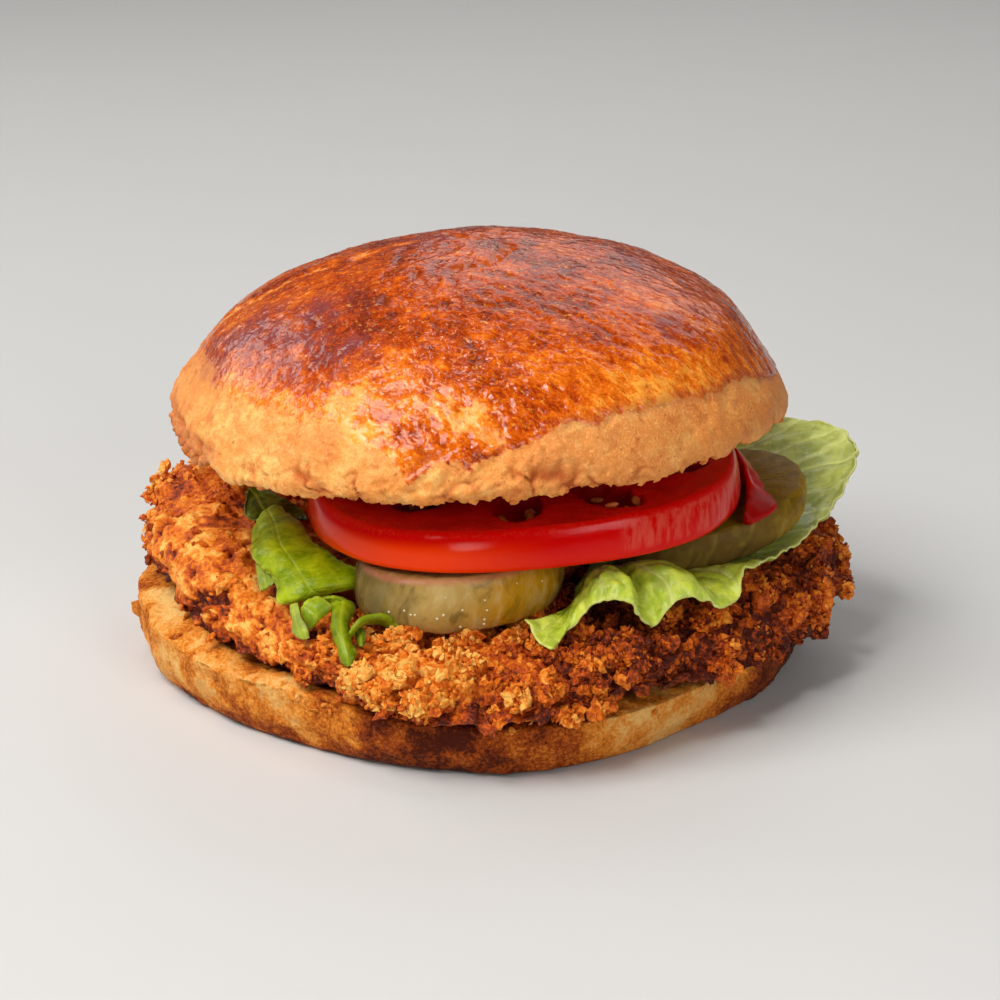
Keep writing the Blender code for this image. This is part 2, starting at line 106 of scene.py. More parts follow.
def blend_four(before: Array, start: Array, end: Array, after: Array, share: Array) -> Array:
    """The smooth curve through four neighbours, read between the middle two.

    Args:
        before: values ahead of the stretch.
        start: values where the stretch starts.
        end: values where it ends.
        after: values behind the stretch.
        share: how far along the stretch to read.

    Returns:
        The values on the curve.
    """
    bend = (2 * before - 5 * start + 4 * end - after) * share
    twist = (3 * start - before - 3 * end + after) * share * share
    return 0.5 * (2 * start + share * (end - before + bend + twist))


def round_ring(degrees: Array | float, stations: Sequence[float]) -> Array:
    """Reads evenly spaced stations round a ring at any direction.

    Args:
        degrees: directions to read at.
        stations: values at even steps round the ring, the first at 0 degrees.

    Returns:
        The value at every direction, on a smooth closed curve.
    """
    table = np.asarray(stations, float)
    place = np.mod(degrees, 360) / 360 * len(table)
    index = np.floor(place).astype(int)
    near = [table[(index + step) % len(table)] for step in (-1, 0, 1, 2)]
    return blend_four(*near, place - index)


def read_along(stations: Sequence[Sequence[float]], share: Array) -> Array:
    """Reads a row of stations at shares of the way along it.

    Args:
        stations: rows of values, in order.
        share: places between 0 and 1.

    Returns:
        One row of values for every share, on a smooth open curve.
    """
    table = np.asarray(stations, float)
    place = np.clip(share, 0, 1) * (len(table) - 1)
    index = np.minimum(place.astype(int), len(table) - 2)
    part = (place - index).reshape((-1,) + (1,) * (table.ndim - 1))
    near = [table[np.clip(index + step, 0, len(table) - 1)] for step in (-1, 0, 1, 2)]
    return blend_four(*near, part)


def lobed(radius: float, lobes: Sequence[Sequence[float]], degrees: Array) -> Array:
    """A round outline with waves on it.

    Args:
        radius: radius of the plain circle.
        lobes: count, height and phase of each wave.
        degrees: directions to read at.

    Returns:
        The distance from the centre at every direction.
    """
    total = np.full_like(np.asarray(degrees, float), radius)
    for count, height, phase in lobes:
        total = total + height * np.cos(np.radians(count * (degrees - phase)))
    return total


def polar(centre: Sequence[float], reach: Array, degrees: Array) -> tuple[Array, Array]:
    """The points at a distance and a direction from a centre."""
    angle = np.radians(degrees)
    return centre[0] + reach * np.cos(angle), centre[1] + reach * np.sin(angle)


def front_weighted(columns: int, bias: float) -> Array:
    """Directions round the stack, closer together towards the front. A bias of 0 is even."""
    even = np.arange(columns) * 360 / columns
    return even + math.degrees(bias) * np.sin(np.radians(even - 90))


def drawn_out(points: Array, axis: Point, factor: float) -> Array:
    """Squeezes space along an axis, so that noise read there is longer along it by a factor."""
    way = unit(np.array(axis))
    return points - (1 - 1 / factor) * (points @ way)[..., None] * way


def unit(ways: Array) -> Array:
    """Directions made one unit long."""
    return ways / np.maximum(np.linalg.norm(ways, axis=-1, keepdims=True), 1e-9)


def direction_of(x: Array, y: Array) -> Array:
    """The direction of points seen from the axis, in degrees."""
    return np.degrees(np.arctan2(y, x))


def paint(red: float, green: float, blue: float) -> Colour:
    """A colour from the values that a screen shows.

    Args:
        red: red, from 0 to 255.
        green: green, from 0 to 255.
        blue: blue, from 0 to 255.

    Returns:
        The colour as amounts of light.
    """

    def linear(value: float) -> float:
        """The light that one channel stands for."""
        value /= 255
        return value / 12.92 if value <= 0.04045 else ((value + 0.055) / 1.055) ** 2.4

    return linear(red), linear(green), linear(blue)


class Grain:
    """Repeatable noise through space, with feature sizes in millimetres."""

    def __init__(self, seed: int) -> None:
        """Draws the tables that the noise is made from.

        Args:
            seed: start of the random draws.
        """
        draw = np.random.default_rng(seed)
        self.order = np.tile(draw.permutation(256), 2)
        self.slopes = unit(draw.normal(size=(256, 3)))
        self.spots = draw.random((256, 4))

    def pick(self, cell: Array) -> Array:
        """The table row of every cell of space."""
        x, y, z = (cell[..., axis] & 255 for axis in range(3))
        return self.order[self.order[self.order[x] + y] + z]

    def waves(self, points: Array, size: float) -> Array:
        """Soft noise from about -1 to 1 whose lumps have one size.

        Args:
            points: places to read at, in millimetres.
            size: the size of a lump.

        Returns:
            The noise at every place.
        """
        place = points / size
        cell = np.floor(place).astype(int)
        inside = place - cell
        fade = inside**3 * (inside * (inside * 6 - 15) + 10)
        total = np.zeros(points.shape[:-1])
        for corner in np.ndindex(2, 2, 2):
            step = np.array(corner)
            slope = self.slopes[self.pick(cell + step)]
            share = np.prod(np.where(step == 1, fade, 1 - fade), axis=-1)
            total += share * ((inside - step) * slope).sum(-1)
        return 1.6 * total

    def layers(self, points: Array, size: float, count: int = 3, keep: float = 0.5) -> Array:
        """Noise with smaller lumps on larger ones.

        Args:
            points: places to read at, in millimetres.
            size: the size of the largest lumps.
            count: how many sizes there are, each half the last.
            keep: how high each size is, as a share of the last.

        Returns:
            The noise at every place.
        """
        total = np.zeros(points.shape[:-1])
        for layer in range(count):
            total += keep**layer * self.waves(points + 31.7 * layer, size / 2**layer)
        return total

    def ridges(self, points: Array, size: float, count: int = 3) -> Array:
        """Noise with sharp crests.

        Args:
            points: places to read at, in millimetres.
            size: the size of the largest lumps.
            count: how many sizes there are, each half the last.

        Returns:
            The noise at every place, 1 on a crest and towards 0 between crests.
        """
        total = np.zeros(points.shape[:-1])
        for layer in range(count):
            total += 0.5**layer * (1 - np.abs(self.waves(points + 53.1 * layer, size / 2**layer)))
        return total / (2 - 0.5 ** (count - 1))

    def pebbles(self, points: Array, size: float) -> tuple[Array, Array, Array]:
        """Space divided into pebbles round random spots.

        Args:
            points: places to read at, in millimetres.
            size: the distance between spots.

        Returns:
            The distances to the nearest and the second nearest spot, in units of size, and a
            random share that every place of one pebble has in common.
        """
        place = points / size
        cell = np.floor(place).astype(int)
        first = np.full(points.shape[:-1], 9)
        second = np.full(points.shape[:-1], 9)
        share = np.zeros(points.shape[:-1])
        for corner in np.ndindex(3, 3, 3):
            near = cell + np.array(corner) - 1
            spot = self.spots[self.pick(near)]
            gap = np.linalg.norm(near + spot[..., :3] - place, axis=-1)
            closer = gap < first
            second = np.where(closer, first, np.minimum(second, gap))
            share = np.where(closer, spot[..., 3], share)
            first = np.where(closer, gap, first)
        return first, second, share


# -------------------- meshes


def put(name: str, data: bpy.types.ID) -> bpy.types.Object:
    """Puts a mesh, a light or a camera into the scene.

    Args:
        name: name of the new object.
        data: what the object holds.

    Returns:
        The object.
    """
    piece = bpy.data.objects.new(name, data)
    bpy.context.scene.collection.objects.link(piece)
    return piece


def new_piece(
    name: str, points: Array, faces: list, values: dict[str, Array], facets: bool = False
) -> bpy.types.Object:
    """Makes a mesh piece from points in millimetres.

    Args:
        name: name of the piece.
        points: its points, one a row.
        faces: its faces, each a list of point numbers.
        values: named numbers, one for every point, that its finish reads.
        facets: whether its faces keep sharp edges between them.

    Returns:
        The new object, in metres.
    """
    mesh = bpy.data.meshes.new(name)
    mesh.from_pydata((points * MM).tolist(), [], faces)
    for label, amounts in values.items():
        layer = mesh.attributes.new(label, "FLOAT", "POINT")
        layer.data.foreach_set("value", np.ascontiguousarray(amounts, np.float32))
    mesh.shade_smooth()
    mesh.validate()
    if facets:
        mesh.shade_flat()
    return put(name, mesh)


def quads(rows: int, columns: int, wrap: bool) -> Array:
    """The quads of a grid of points, one row of four point numbers each.

    Args:
        rows: how many rows of points there are.
        columns: how many points a row has.
        wrap: whether the last point of a row meets its first.

    Returns:
        The point numbers, turning the same way all over.
    """
    place = np.arange(rows * columns).reshape(rows, columns)
    if wrap:
        place = np.concatenate([place, place[:, :1]], axis=1)
    return np.stack([place[:-1, :-1], place[1:, :-1], place[1:, 1:], place[:-1, 1:]], -1).reshape(-1, 4)


def settle(x: Array, y: Array, z: Array, node: str) -> Array:
    """Fits a plain form to the box of the solid that it stands for.

    Args:
        x: how far right its points are, in millimetres.
        y: how far back they are.
        z: how high they are.
        node: name of the solid.

    Returns:
        The points, stretched a little so that their box is the solid's box.
    """
    points = np.stack([x, y, z], -1)
    low, high = (np.array(corner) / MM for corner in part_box(node))
    flat = points.reshape(-1, 3)
    least, most = flat.min(0), flat.max(0)
    return low + (points - least) * (high - low) / (most - least)


@dataclass
class Skin:
    """A closed turned skin: rows from its top middle to its bottom middle, columns round it.

    Some skins also hold the direction and the height of every point of their plain form.
    """

    points: Array
    degrees: Array | None = None
    height: Array | None = None
    values: dict[str, Array] = field(default_factory=dict)

    def outward(self) -> Array:
        """Finds the way out of the body.

        Returns:
            The unit direction away from the body at every point.
        """
        along = np.gradient(self.points, axis=0)
        across = np.roll(self.points, -1, axis=1) - np.roll(self.points, 1, axis=1)
        normal = unit(np.cross(along, across))
        normal[0] = (0, 0, 1)
        normal[-1] = (0, 0, -1)
        return normal

    def push(self, amount: Array) -> None:
        """Moves every point outward by an amount in millimetres."""
        self.points = self.points + self.outward() * amount[..., None]

    def piece(self, name: str) -> bpy.types.Object:
        """Makes the skin a mesh, with one point at each pole.

        Args:
            name: name of the piece.

        Returns:
            The piece.
        """
        rows, columns = self.points.shape[:2]
        ring = quads(rows - 2, columns, True) + 1
        last = 1 + (rows - 2) * columns
        steps = np.arange(columns)
        after = (steps + 1) % columns
        top = np.stack([np.zeros(columns, int), 1 + steps, 1 + after], -1)
        bottom_row = last - columns
        bottom = np.stack([bottom_row + after, bottom_row + steps, np.full(columns, last)], -1)
        points = np.concatenate([self.points[0, :1], self.points[1:-1].reshape(-1, 3), self.points[-1, :1]])
        values = {
            label: np.concatenate([[v[0].mean()], v[1:-1].ravel(), [v[-1].mean()]])
            for label, v in self.values.items()
        }
        return new_piece(name, points, top.tolist() + ring.tolist() + bottom.tolist(), values)


@dataclass
class Sheet:
    """A thin leaf-like sheet: rows along it, columns across it."""

    points: Array
    thickness: Array
    values: dict[str, Array] = field(default_factory=dict)

    def outward(self) -> Array:
        """The unit direction square to the sheet at every point."""
        return unit(np.cross(np.gradient(self.points, axis=0), np.gradient(self.points, axis=1)))

    def push(self, amount: Array) -> None:
        """Moves every point square to the sheet by an amount in millimetres."""
        self.points = self.points + self.outward() * amount[..., None]

    def solid(self) -> tuple[Array, Array, dict[str, Array]]:
        """Gives the sheet two sides and a closed edge.

        Returns:
            Its points, its faces and its named values.
        """
        rows, columns = self.points.shape[:2]
        offset = self.outward() * 0.5 * self.thickness[..., None]
        count = rows * columns
        points = np.concatenate([self.points + offset, self.points - offset]).reshape(-1, 3)
        front = quads(rows, columns, False)
        place = np.arange(count).reshape(rows, columns)
        rim = np.concatenate([place[0, :-1], place[:-1, -1], place[-1, :0:-1], place[:0:-1, 0]])
        after = np.roll(rim, -1)
        edge = np.stack([rim, after, after + count, rim + count], -1)
        faces = np.concatenate([front, front[:, ::-1] + count, edge])
        values = {label: np.tile(v.ravel(), 2) for label, v in self.values.items()}
        values["side"] = np.repeat([1, 0], count)
        return points, faces, values


def sheets_piece(name: str, sheets: Sequence[Sheet]) -> bpy.types.Object:
    """Joins thin sheets that have the same named values into one piece.

    Args:
        name: name of the piece.
        sheets: the sheets.

    Returns:
        The piece.
    """
    points, faces, values, start = [], [], {}, 0
    for sheet in sheets:
        some_points, some_faces, some_values = sheet.solid()
        points.append(some_points)
        faces.extend((some_faces + start).tolist())
        for label, amounts in some_values.items():
            values.setdefault(label, []).append(amounts)
        start += len(some_points)
    piece = new_piece(
        name, np.concatenate(points), faces, {label: np.concatenate(v) for label, v in values.items()}
    )
    shape = bmesh.new()
    shape.from_mesh(piece.data)
    bmesh.ops.recalc_face_normals(shape, faces=shape.faces)
    shape.to_mesh(piece.data)
    shape.free()
    return piece


@dataclass
class Crumbs:
    """Many small rough bodies of one kind, joined into one mesh."""

    seed: int
    splits: int = 2
    rough: float = 0.2
    lump: float = 0.45
    facets: bool = False
    points: list[Array] = field(default_factory=list)
    values: dict[str, list[Array]] = field(default_factory=dict)

    def ball(self) -> tuple[Array, Array]:
        """Makes the small ball that every crumb starts from.

        Returns:
            Its points and its triangles.
        """
        shape = bmesh.new()
        bmesh.ops.create_icosphere(shape, subdivisions=self.splits, radius=1)
        points = np.array([vertex.co[:] for vertex in shape.verts])
        faces = np.array([[vertex.index for vertex in face.verts] for face in shape.faces])
        shape.free()
        return points, faces

    def scatter(self, spots: Array, normals: Array, sizes: Array, lift: float, **values: Array) -> None:
        """Adds one crumb at every spot.

        Args:
            spots: where the crumbs are, in millimetres.
            normals: the way out of the surface at each spot.
            sizes: length, width and height of each crumb.
            lift: how far crumbs tilt away from lying flat.
            values: named numbers, one for each crumb.
        """
        draw = np.random.default_rng(self.seed + len(self.points))
        ball = self.ball()[0]
        count = len(spots)
        up = unit(normals + lift * draw.normal(size=(count, 3)))
        side = unit(np.cross(up, draw.normal(size=(count, 3))))
        third = np.cross(up, side)
        body = ball[None] * (1 + self.rough * draw.normal(size=(count, len(ball), 1)))
        lumps = Grain(self.seed).waves(body + 40 * draw.random((count, 1, 3)), 0.9)
        body *= 1 + self.lump * lumps[..., None]
        body *= 0.5 * sizes[:, None, :]
        placed = (
            body[..., :1] * side[:, None] + body[..., 1:2] * third[:, None] + body[..., 2:] * up[:, None]
        )
        self.points.append((spots[:, None] + placed).reshape(-1, 3))
        for label, amounts in values.items():
            self.values.setdefault(label, []).append(np.repeat(amounts, len(ball)))

    def litter(
        self, skin: Skin, chance: Array, seed: int, count: int, size: tuple[float, float],
        spans: Sequence[tuple[float, ...]], lift: float, **ranges: tuple[float, float] | float,
    ) -> None:
        """Leaves crumbs at random on a skin.

        Args:
            skin: the skin.
            chance: how likely each point is, besides the area round it.
            seed: start of the random draws.
            count: how many crumbs to leave.
            size: the middle size, and how much sizes vary.
            spans: least and most share of the size for each side, or nothing for the size itself.
            lift: how far crumbs tilt away from lying flat.
            ranges: least and most of each named number, or one value for all.
        """
        rows, columns = spread(skin, chance, count, seed)
        draw = np.random.default_rng(seed + 1)
        sizes = crumb_sizes(draw, size[0] * draw.lognormal(0, size[1], count), *spans)
        values = {
            label: draw.uniform(*span, count) if isinstance(span, tuple) else np.full(count, span)
            for label, span in ranges.items()
        }
        self.scatter(skin.points[rows, columns], skin.outward()[rows, columns], sizes, lift, **values)

    def piece(self, name: str) -> bpy.types.Object:
        """Joins all the crumbs into one piece.

        Args:
            name: name of the piece.

        Returns:
            The piece.
        """
        ball_points, ball_faces = self.ball()
        points = np.concatenate(self.points)
        starts = np.arange(0, len(points), len(ball_points))
        faces = (ball_faces[None] + starts[:, None, None]).reshape(-1, 3)
        values = {label: np.concatenate(parts) for label, parts in self.values.items()}
        return new_piece(name, points, faces.tolist(), values, self.facets)


def crumb_sizes(draw: np.random.Generator, scale: Array, *spans: tuple[float, ...]) -> Array:
    """Draws each size from a span of shares of the scale. An empty span is the scale itself."""
    return np.stack([scale * draw.uniform(*span, len(scale)) if span else scale for span in spans], -1)


def spread(skin: Skin, chance: Array, count: int, seed: int) -> tuple[Array, Array]:
    """Picks places on a skin at random.

    Args:
        skin: the skin to pick on.
        chance: how likely each point is, besides the area round it.
        count: how many places to pick.
        seed: start of the random draws.

    Returns:
        The row and the column numbers of the places.
    """
    along = np.linalg.norm(np.gradient(skin.points, axis=0), axis=-1)
    across = np.linalg.norm(skin.points - np.roll(skin.points, 1, axis=1), axis=-1)
    share = (along * across * np.maximum(chance, 0)).ravel()
    draw = np.random.default_rng(seed)
    chosen = draw.choice(share.size, size=count, replace=False, p=share / share.sum())
    return np.unravel_index(chosen, skin.points.shape[:2])


# -------------------- finishes


class Slot(Enum):
    """The material slots of the record."""

    HEEL = "bun_heel"
    CROWN = "bun_crown"
    CRUMB = "fried_crumb"
    LETTUCE = "lettuce"
    PICKLE = "pickle"
    TOMATO = "tomato"


class Recipe:
    """Builds one node material from short steps. Sizes are in millimetres."""

    def __init__(self, name: str) -> None:
        """Starts a material with a single shader.

        Args:
            name: name of the material.
        """
        self.material = bpy.data.materials.new(name)
        self.material.use_nodes = True
        self.tree = self.material.node_tree
        self.shader = self.tree.nodes["Principled BSDF"]
        self.place = self.node("TexCoord", {}).outputs["Object"]

    def feed(self, socket: Socket, source: Socket | float | Sequence[float]) -> None:
        """Joins a source to a socket, or sets the socket to a plain value.

        Args:
            socket: the socket to feed.
            source: another socket, or a value.
        """
        if isinstance(source, Socket):
            self.tree.links.new(source, socket)
        elif isinstance(source, tuple) and len(source) == 3 and socket.type == "RGBA":
            socket.default_value = (*source, 1)
        else:
            socket.default_value = source

    def node(self, kind: str, feeds: dict[str | int, Socket | float | Sequence[float]], **ways: str) -> Node:
        """Adds a node.

        Args:
            kind: the kind of node, by Blender's name for it.
            feeds: what goes into its sockets.
            ways: the ways that it works in.

        Returns:
            The node.
        """
        node = self.tree.nodes.new("ShaderNode" + kind)
        for label, way in ways.items():
            setattr(node, label, way)
        for label, source in feeds.items():
            self.feed(node.inputs[label], source)
        return node

    def stored(self, label: str) -> Socket:
        """Reads a number that the mesh holds at every point."""
        return self.node("Attribute", {}, attribute_name=label).outputs["Fac"]

    def spot(self, stretch: Point, turn: Point) -> Socket:
        """Reads the place on the burger along other axes.

        Args:
            stretch: how much longer things become along each axis.
            turn: how far the axes are turned, in degrees.

        Returns:
            The socket that holds the place.
        """
        angles = tuple(math.radians(value) for value in turn)
        feeds = {"Vector": self.place, "Rotation": angles, "Scale": stretch}
        return self.node("Mapping", feeds, vector_type="TEXTURE").outputs["Vector"]

    def noise(
        self, size: float, detail: float = 3, rough: float = 0.55, warp: float = 0,
        stretch: Point = (1, 1, 1), turn: Point = (0, 0, 0),
    ) -> Socket:
        """Soft noise from 0 to 1.

        Args:
            size: the size of a lump.
            detail: how many finer sizes lie on it.
            rough: how strong the finer sizes are.
            warp: how far the noise twists itself.
            stretch: how much longer the lumps are along each axis.
            turn: how far the axes are turned, in degrees.

        Returns:
            The socket that holds the noise.
        """
        return self.node("TexNoise", {
            "Vector": self.spot(stretch, turn), "Scale": 1 / (size * MM), "Detail": detail,
            "Roughness": rough, "Distortion": warp,
        }).outputs["Fac"]

    def band(self, source: Socket, low: float, high: float, start: float = 0, end: float = 1) -> Socket:
        """Stretches the range low to high of a value to the range start to end, and holds it there."""
        feeds = {"Value": source, "From Min": low, "From Max": high, "To Min": start, "To Max": end}
        return self.node("MapRange", feeds, interpolation_type="SMOOTHSTEP").outputs["Result"]

    def ramp(self, source: Socket, stops: Sequence[tuple[float, Colour]]) -> Socket:
        """Lays colours along a value.

        Args:
            source: the value, from 0 to 1.
            stops: the place and the colour of each stop.

        Returns:
            The socket that holds the colour.
        """
        node = self.node("ValToRGB", {"Fac": source})
        elements = node.color_ramp.elements
        while len(elements) < len(stops):
            elements.new(0.5)
        for element, (place, colour) in zip(elements, stops):
            element.position = place
            element.color = (*colour, 1)
        return node.outputs["Color"]

    def mix(self, share: Socket | float, under: Socket | Colour, over: Socket | Colour) -> Socket:
        """Lays one colour over another, where share says how much of the upper one shows."""
        return self.node("Mix", {"Factor": share, 6: under, 7: over}, data_type="RGBA").outputs[2]

    def sums(self, kind: str, first: Socket, *others: Socket | float) -> Socket:
        """Works one kind of arithmetic through a row of values.

        Args:
            kind: the arithmetic, by Blender's name for it.
            first: the first value.
            others: the values after it.

        Returns:
            The socket that holds the result.
        """
        for other in others:
            first = self.node("Math", {0: first, 1: other}, operation=kind).outputs[0]
        return first

    def bump(self, height: Socket, depth: float, under: Socket | None = None) -> Socket:
        """Fine relief from a height between 0 and 1.

        Args:
            height: the height.
            depth: how deep the relief is.
            under: relief that this one lies on.

        Returns:
            The socket that holds the bent surface direction.
        """
        node = self.node("Bump", {"Strength": 1, "Distance": depth * MM, "Height": height})
        if under is not None:
            self.feed(node.inputs["Normal"], under)
        return node.outputs["Normal"]

    def finish(
        self, colour: Socket, roughness: Socket | float, normal: Socket | None = None,
        soak: float = 0, soak_reach: Point = (1, 0.5, 0.2), ior: float = 1.45, gloss: float = 0.5,
    ) -> bpy.types.Material:
        """Joins the shader's main sockets.

        Args:
            colour: base colour.
            roughness: roughness.
            normal: bent surface direction, if there is fine relief.
            soak: how much light soaks into the surface.
            soak_reach: how far red, green and blue light spread inside.
            ior: refractive index of the surface.
            gloss: specular level, where 0.5 is plain.

        Returns:
            The finished material.
        """
        inputs = self.shader.inputs
        self.feed(inputs["Base Color"], colour)
        self.feed(inputs["Roughness"], roughness)
        if normal is not None:
            self.feed(inputs["Normal"], normal)
        inputs["IOR"].default_value = ior
        inputs["Specular IOR Level"].default_value = gloss
        if soak > 0:
            inputs["Subsurface Weight"].default_value = soak
            inputs["Subsurface Radius"].default_value = soak_reach
            inputs["Subsurface Scale"].default_value = MM
        return self.material


@dataclass(frozen=True)
class CrownFinish:
    """Baked crust: a matte pale side under a glossy egg-glazed top."""

    cream: Colour = paint(252, 194, 108)
    peach: Colour = paint(238, 142, 54)
    tan: Colour = paint(226, 134, 58)
    gold: Colour = paint(248, 164, 62)
    amber: Colour = paint(226, 108, 12)
    brown: Colour = paint(180, 64, 4)
    dark: Colour = paint(112, 34, 4)
    burnt: Colour = paint(126, 58, 58)
    crack: Colour = paint(182, 78, 10)

    def make(self) -> bpy.types.Material:
        """Builds the material.

        Returns:
            The finished material.
        """
        r = Recipe("glazed_crust")
        grain = r.noise(0.45, 4, 0.7)
        fine = r.noise(1.5, 4, 0.65, 0.4)
        cloud = r.noise(6, 4, 0.6, 0.5)
        matte = r.mix(r.band(cloud, 0.36, 0.64, 0, 0.8), self.cream, self.peach)
        matte = r.mix(r.band(fine, 0.44, 0.62, 0, 0.75), matte, self.peach)
        matte = r.mix(r.stored("tan"), matte, self.tan)
        matte = r.mix(r.band(grain, 0.5, 0.7, 0, 0.6), matte, self.tan)
        matte = r.mix(r.band(grain, 0.34, 0.48, 0.55, 0), matte, self.cream)
        matte = r.mix(r.band(r.noise(2.8, 4, 0.68, 0.4), 0.5, 0.68, 0, 0.44), matte, self.crack)
        matte = r.mix(r.band(r.noise(0.8, 2, 0.5), 0.66, 0.73, 0, 0.6), matte, self.crack)
        streak = r.noise(1.5, 6, 0.72, 1, (1, 1, 2.6), (0, -42, 0))
        level = r.sums(
            "ADD", r.band(streak, 0.3, 0.7, -0.19, 0.19), r.band(cloud, 0.3, 0.7, -0.13, 0.13),
            r.band(grain, 0.3, 0.7, -0.13, 0.13), r.stored("deep"),
        )
        stops = ((0.08, self.gold), (0.38, self.amber), (0.68, self.brown), (0.98, self.dark))
        glazed = r.ramp(level, stops)
        # Small gold flecks on the glaze, some of them painted glints, and small dark flecks.
        speck = r.noise(0.8, 5, 0.7, 0.8, (1, 1, 1.7), (0, -42, 0))
        glazed = r.mix(r.band(speck, 0.56, 0.7, 0, 0.75), glazed, self.gold)
        glazed = r.mix(r.band(speck, 0.28, 0.42, 0.55, 0), glazed, self.dark)
        edge = r.sums("ADD", r.stored("glaze"), r.band(fine, 0.35, 0.65, -0.22, 0.22))
        share = r.band(edge, 0.25, 0.75)
        colour = r.mix(share, matte, glazed)
        # Dark mauve patches: burnt crust, and partly a painted sheen.
        colour = r.mix(r.stored("burn"), colour, self.burnt)
        colour = r.mix(r.stored("crack"), colour, self.crack)
        blister = r.noise(1.2, 1.6, 0.5, 0.8, (1, 1, 1.8), (0, -42, 0))
        normal = r.bump(r.sums("MULTIPLY", blister, r.band(share, 0, 1, 0.3, 1)), 0.2)
        normal = r.bump(r.sums("MULTIPLY", grain, r.band(share, 0, 1, 1, 0.05)), 0.24, normal)
        rough = r.sums("ADD", r.band(share, 0.1, 0.9, 0.5, 0.08), r.band(streak, 0.35, 0.7, 0, 0.08))
        return r.finish(colour, rough, normal, soak=0.05, soak_reach=(1.6, 0.6, 0.2), gloss=0.4)


@dataclass(frozen=True)
class HeelFinish:
    """Matte bread crust, pale with toasted patches, and a toasted cut face."""

    pale: Colour = paint(248, 194, 112)
    golden: Colour = paint(236, 142, 42)
    brown: Colour = paint(170, 74, 12)
    dark: Colour = paint(82, 24, 2)

    def make(self) -> bpy.types.Material:
        """Builds the material.

        Returns:
            The finished material.
        """
        r = Recipe("heel_crust")
        blotch = r.noise(4.6, 3, 0.55, 0.3)
        grain = r.noise(0.6, 4, 0.72)
        level = r.sums(
            "ADD", r.stored("toast"), r.band(blotch, 0.3, 0.7, -0.13, 0.13),
            r.band(grain, 0.3, 0.7, -0.17, 0.17),
        )
        colour = r.ramp(level, ((0.1, self.pale), (0.4, self.golden), (0.7, self.brown), (0.98, self.dark)))
        normal = r.bump(r.noise(0.5, 5, 0.75), 0.42)
        return r.finish(colour, r.band(grain, 0.3, 0.7, 0.5, 0.72), normal, soak=0.05, gloss=0.16)


@dataclass(frozen=True)
class CrumbFinish:
    """Deep-fried bread crumbs; the tone they hold makes them lighter where raised and darker in the hollows,
    a painted highlight and painted shade.
    """

    name: str = "fried_crumbs"
    pale: Colour = paint(254, 196, 96)
    golden: Colour = paint(242, 134, 22)
    orange: Colour = paint(192, 76, 6)
    dark: Colour = paint(76, 16, 1)

    def make(self) -> bpy.types.Material:
        """Builds the material.

        Returns:
            The finished material.
        """
        r = Recipe(self.name)
        fleck = r.noise(0.8, 5, 0.72, 0.5)
        level = r.sums("ADD", r.stored("tone"), r.band(fleck, 0.3, 0.7, -0.24, 0.24))
        stops = ((0.05, self.dark), (0.35, self.orange), (0.65, self.golden), (0.95, self.pale))
        colour = r.ramp(level, stops)
        normal = r.bump(r.noise(0.3, 4, 0.75), 0.24)
        rough = r.band(fleck, 0.3, 0.7, 0.34, 0.58)
        return r.finish(colour, rough, normal, soak=0.08, soak_reach=(0.9, 0.35, 0.1), gloss=0.32)


@dataclass(frozen=True)
class LeafFinish:
    """Lettuce: green between pale veins, whiter near the rib, darkened with painted shade, and thin enough to
    glow.
    """

    name: str = "lettuce_leaf"
    gloss: float = 0.5
    green: Colour = paint(164, 196, 12)
    light: Colour = paint(238, 254, 70)
    white: Colour = paint(240, 232, 150)
    # dark: the colour of the painted shade
    dark: Colour = paint(52, 62, 1)
    rib: Colour = paint(234, 240, 142)

    def make(self) -> bpy.types.Material:
        """Builds the material.

        Returns:
            The finished material.
        """
        r = Recipe(self.name)
        cloud = r.noise(4, 4, 0.6, 0.4)
        body = r.mix(r.band(cloud, 0.35, 0.7), self.green, self.light)
        # Painted shade, as strong as the shade value that the mesh holds.
        body = r.mix(r.stored("shade"), body, self.dark)
        body = r.mix(r.stored("white"), body, self.white)
        body = r.mix(r.stored("vein"), body, self.rib)
        normal = r.bump(r.noise(1.6, 2, 0.5, 0.5), 0.22)
        normal = r.bump(r.noise(0.5, 3, 0.6), 0.05, normal)
        r.finish(body, r.band(cloud, 0.3, 0.7, 0.24, 0.4), normal, gloss=self.gloss)
        glow = r.node("BsdfTranslucent", {"Color": r.mix(0.35, body, self.light)})
        both = r.node("MixShader", {"Fac": 0.14, 1: r.shader.outputs["BSDF"], 2: glow.outputs["BSDF"]})
        r.feed(r.tree.nodes["Material Output"].inputs["Surface"], both.outputs["Shader"])
        return r.material


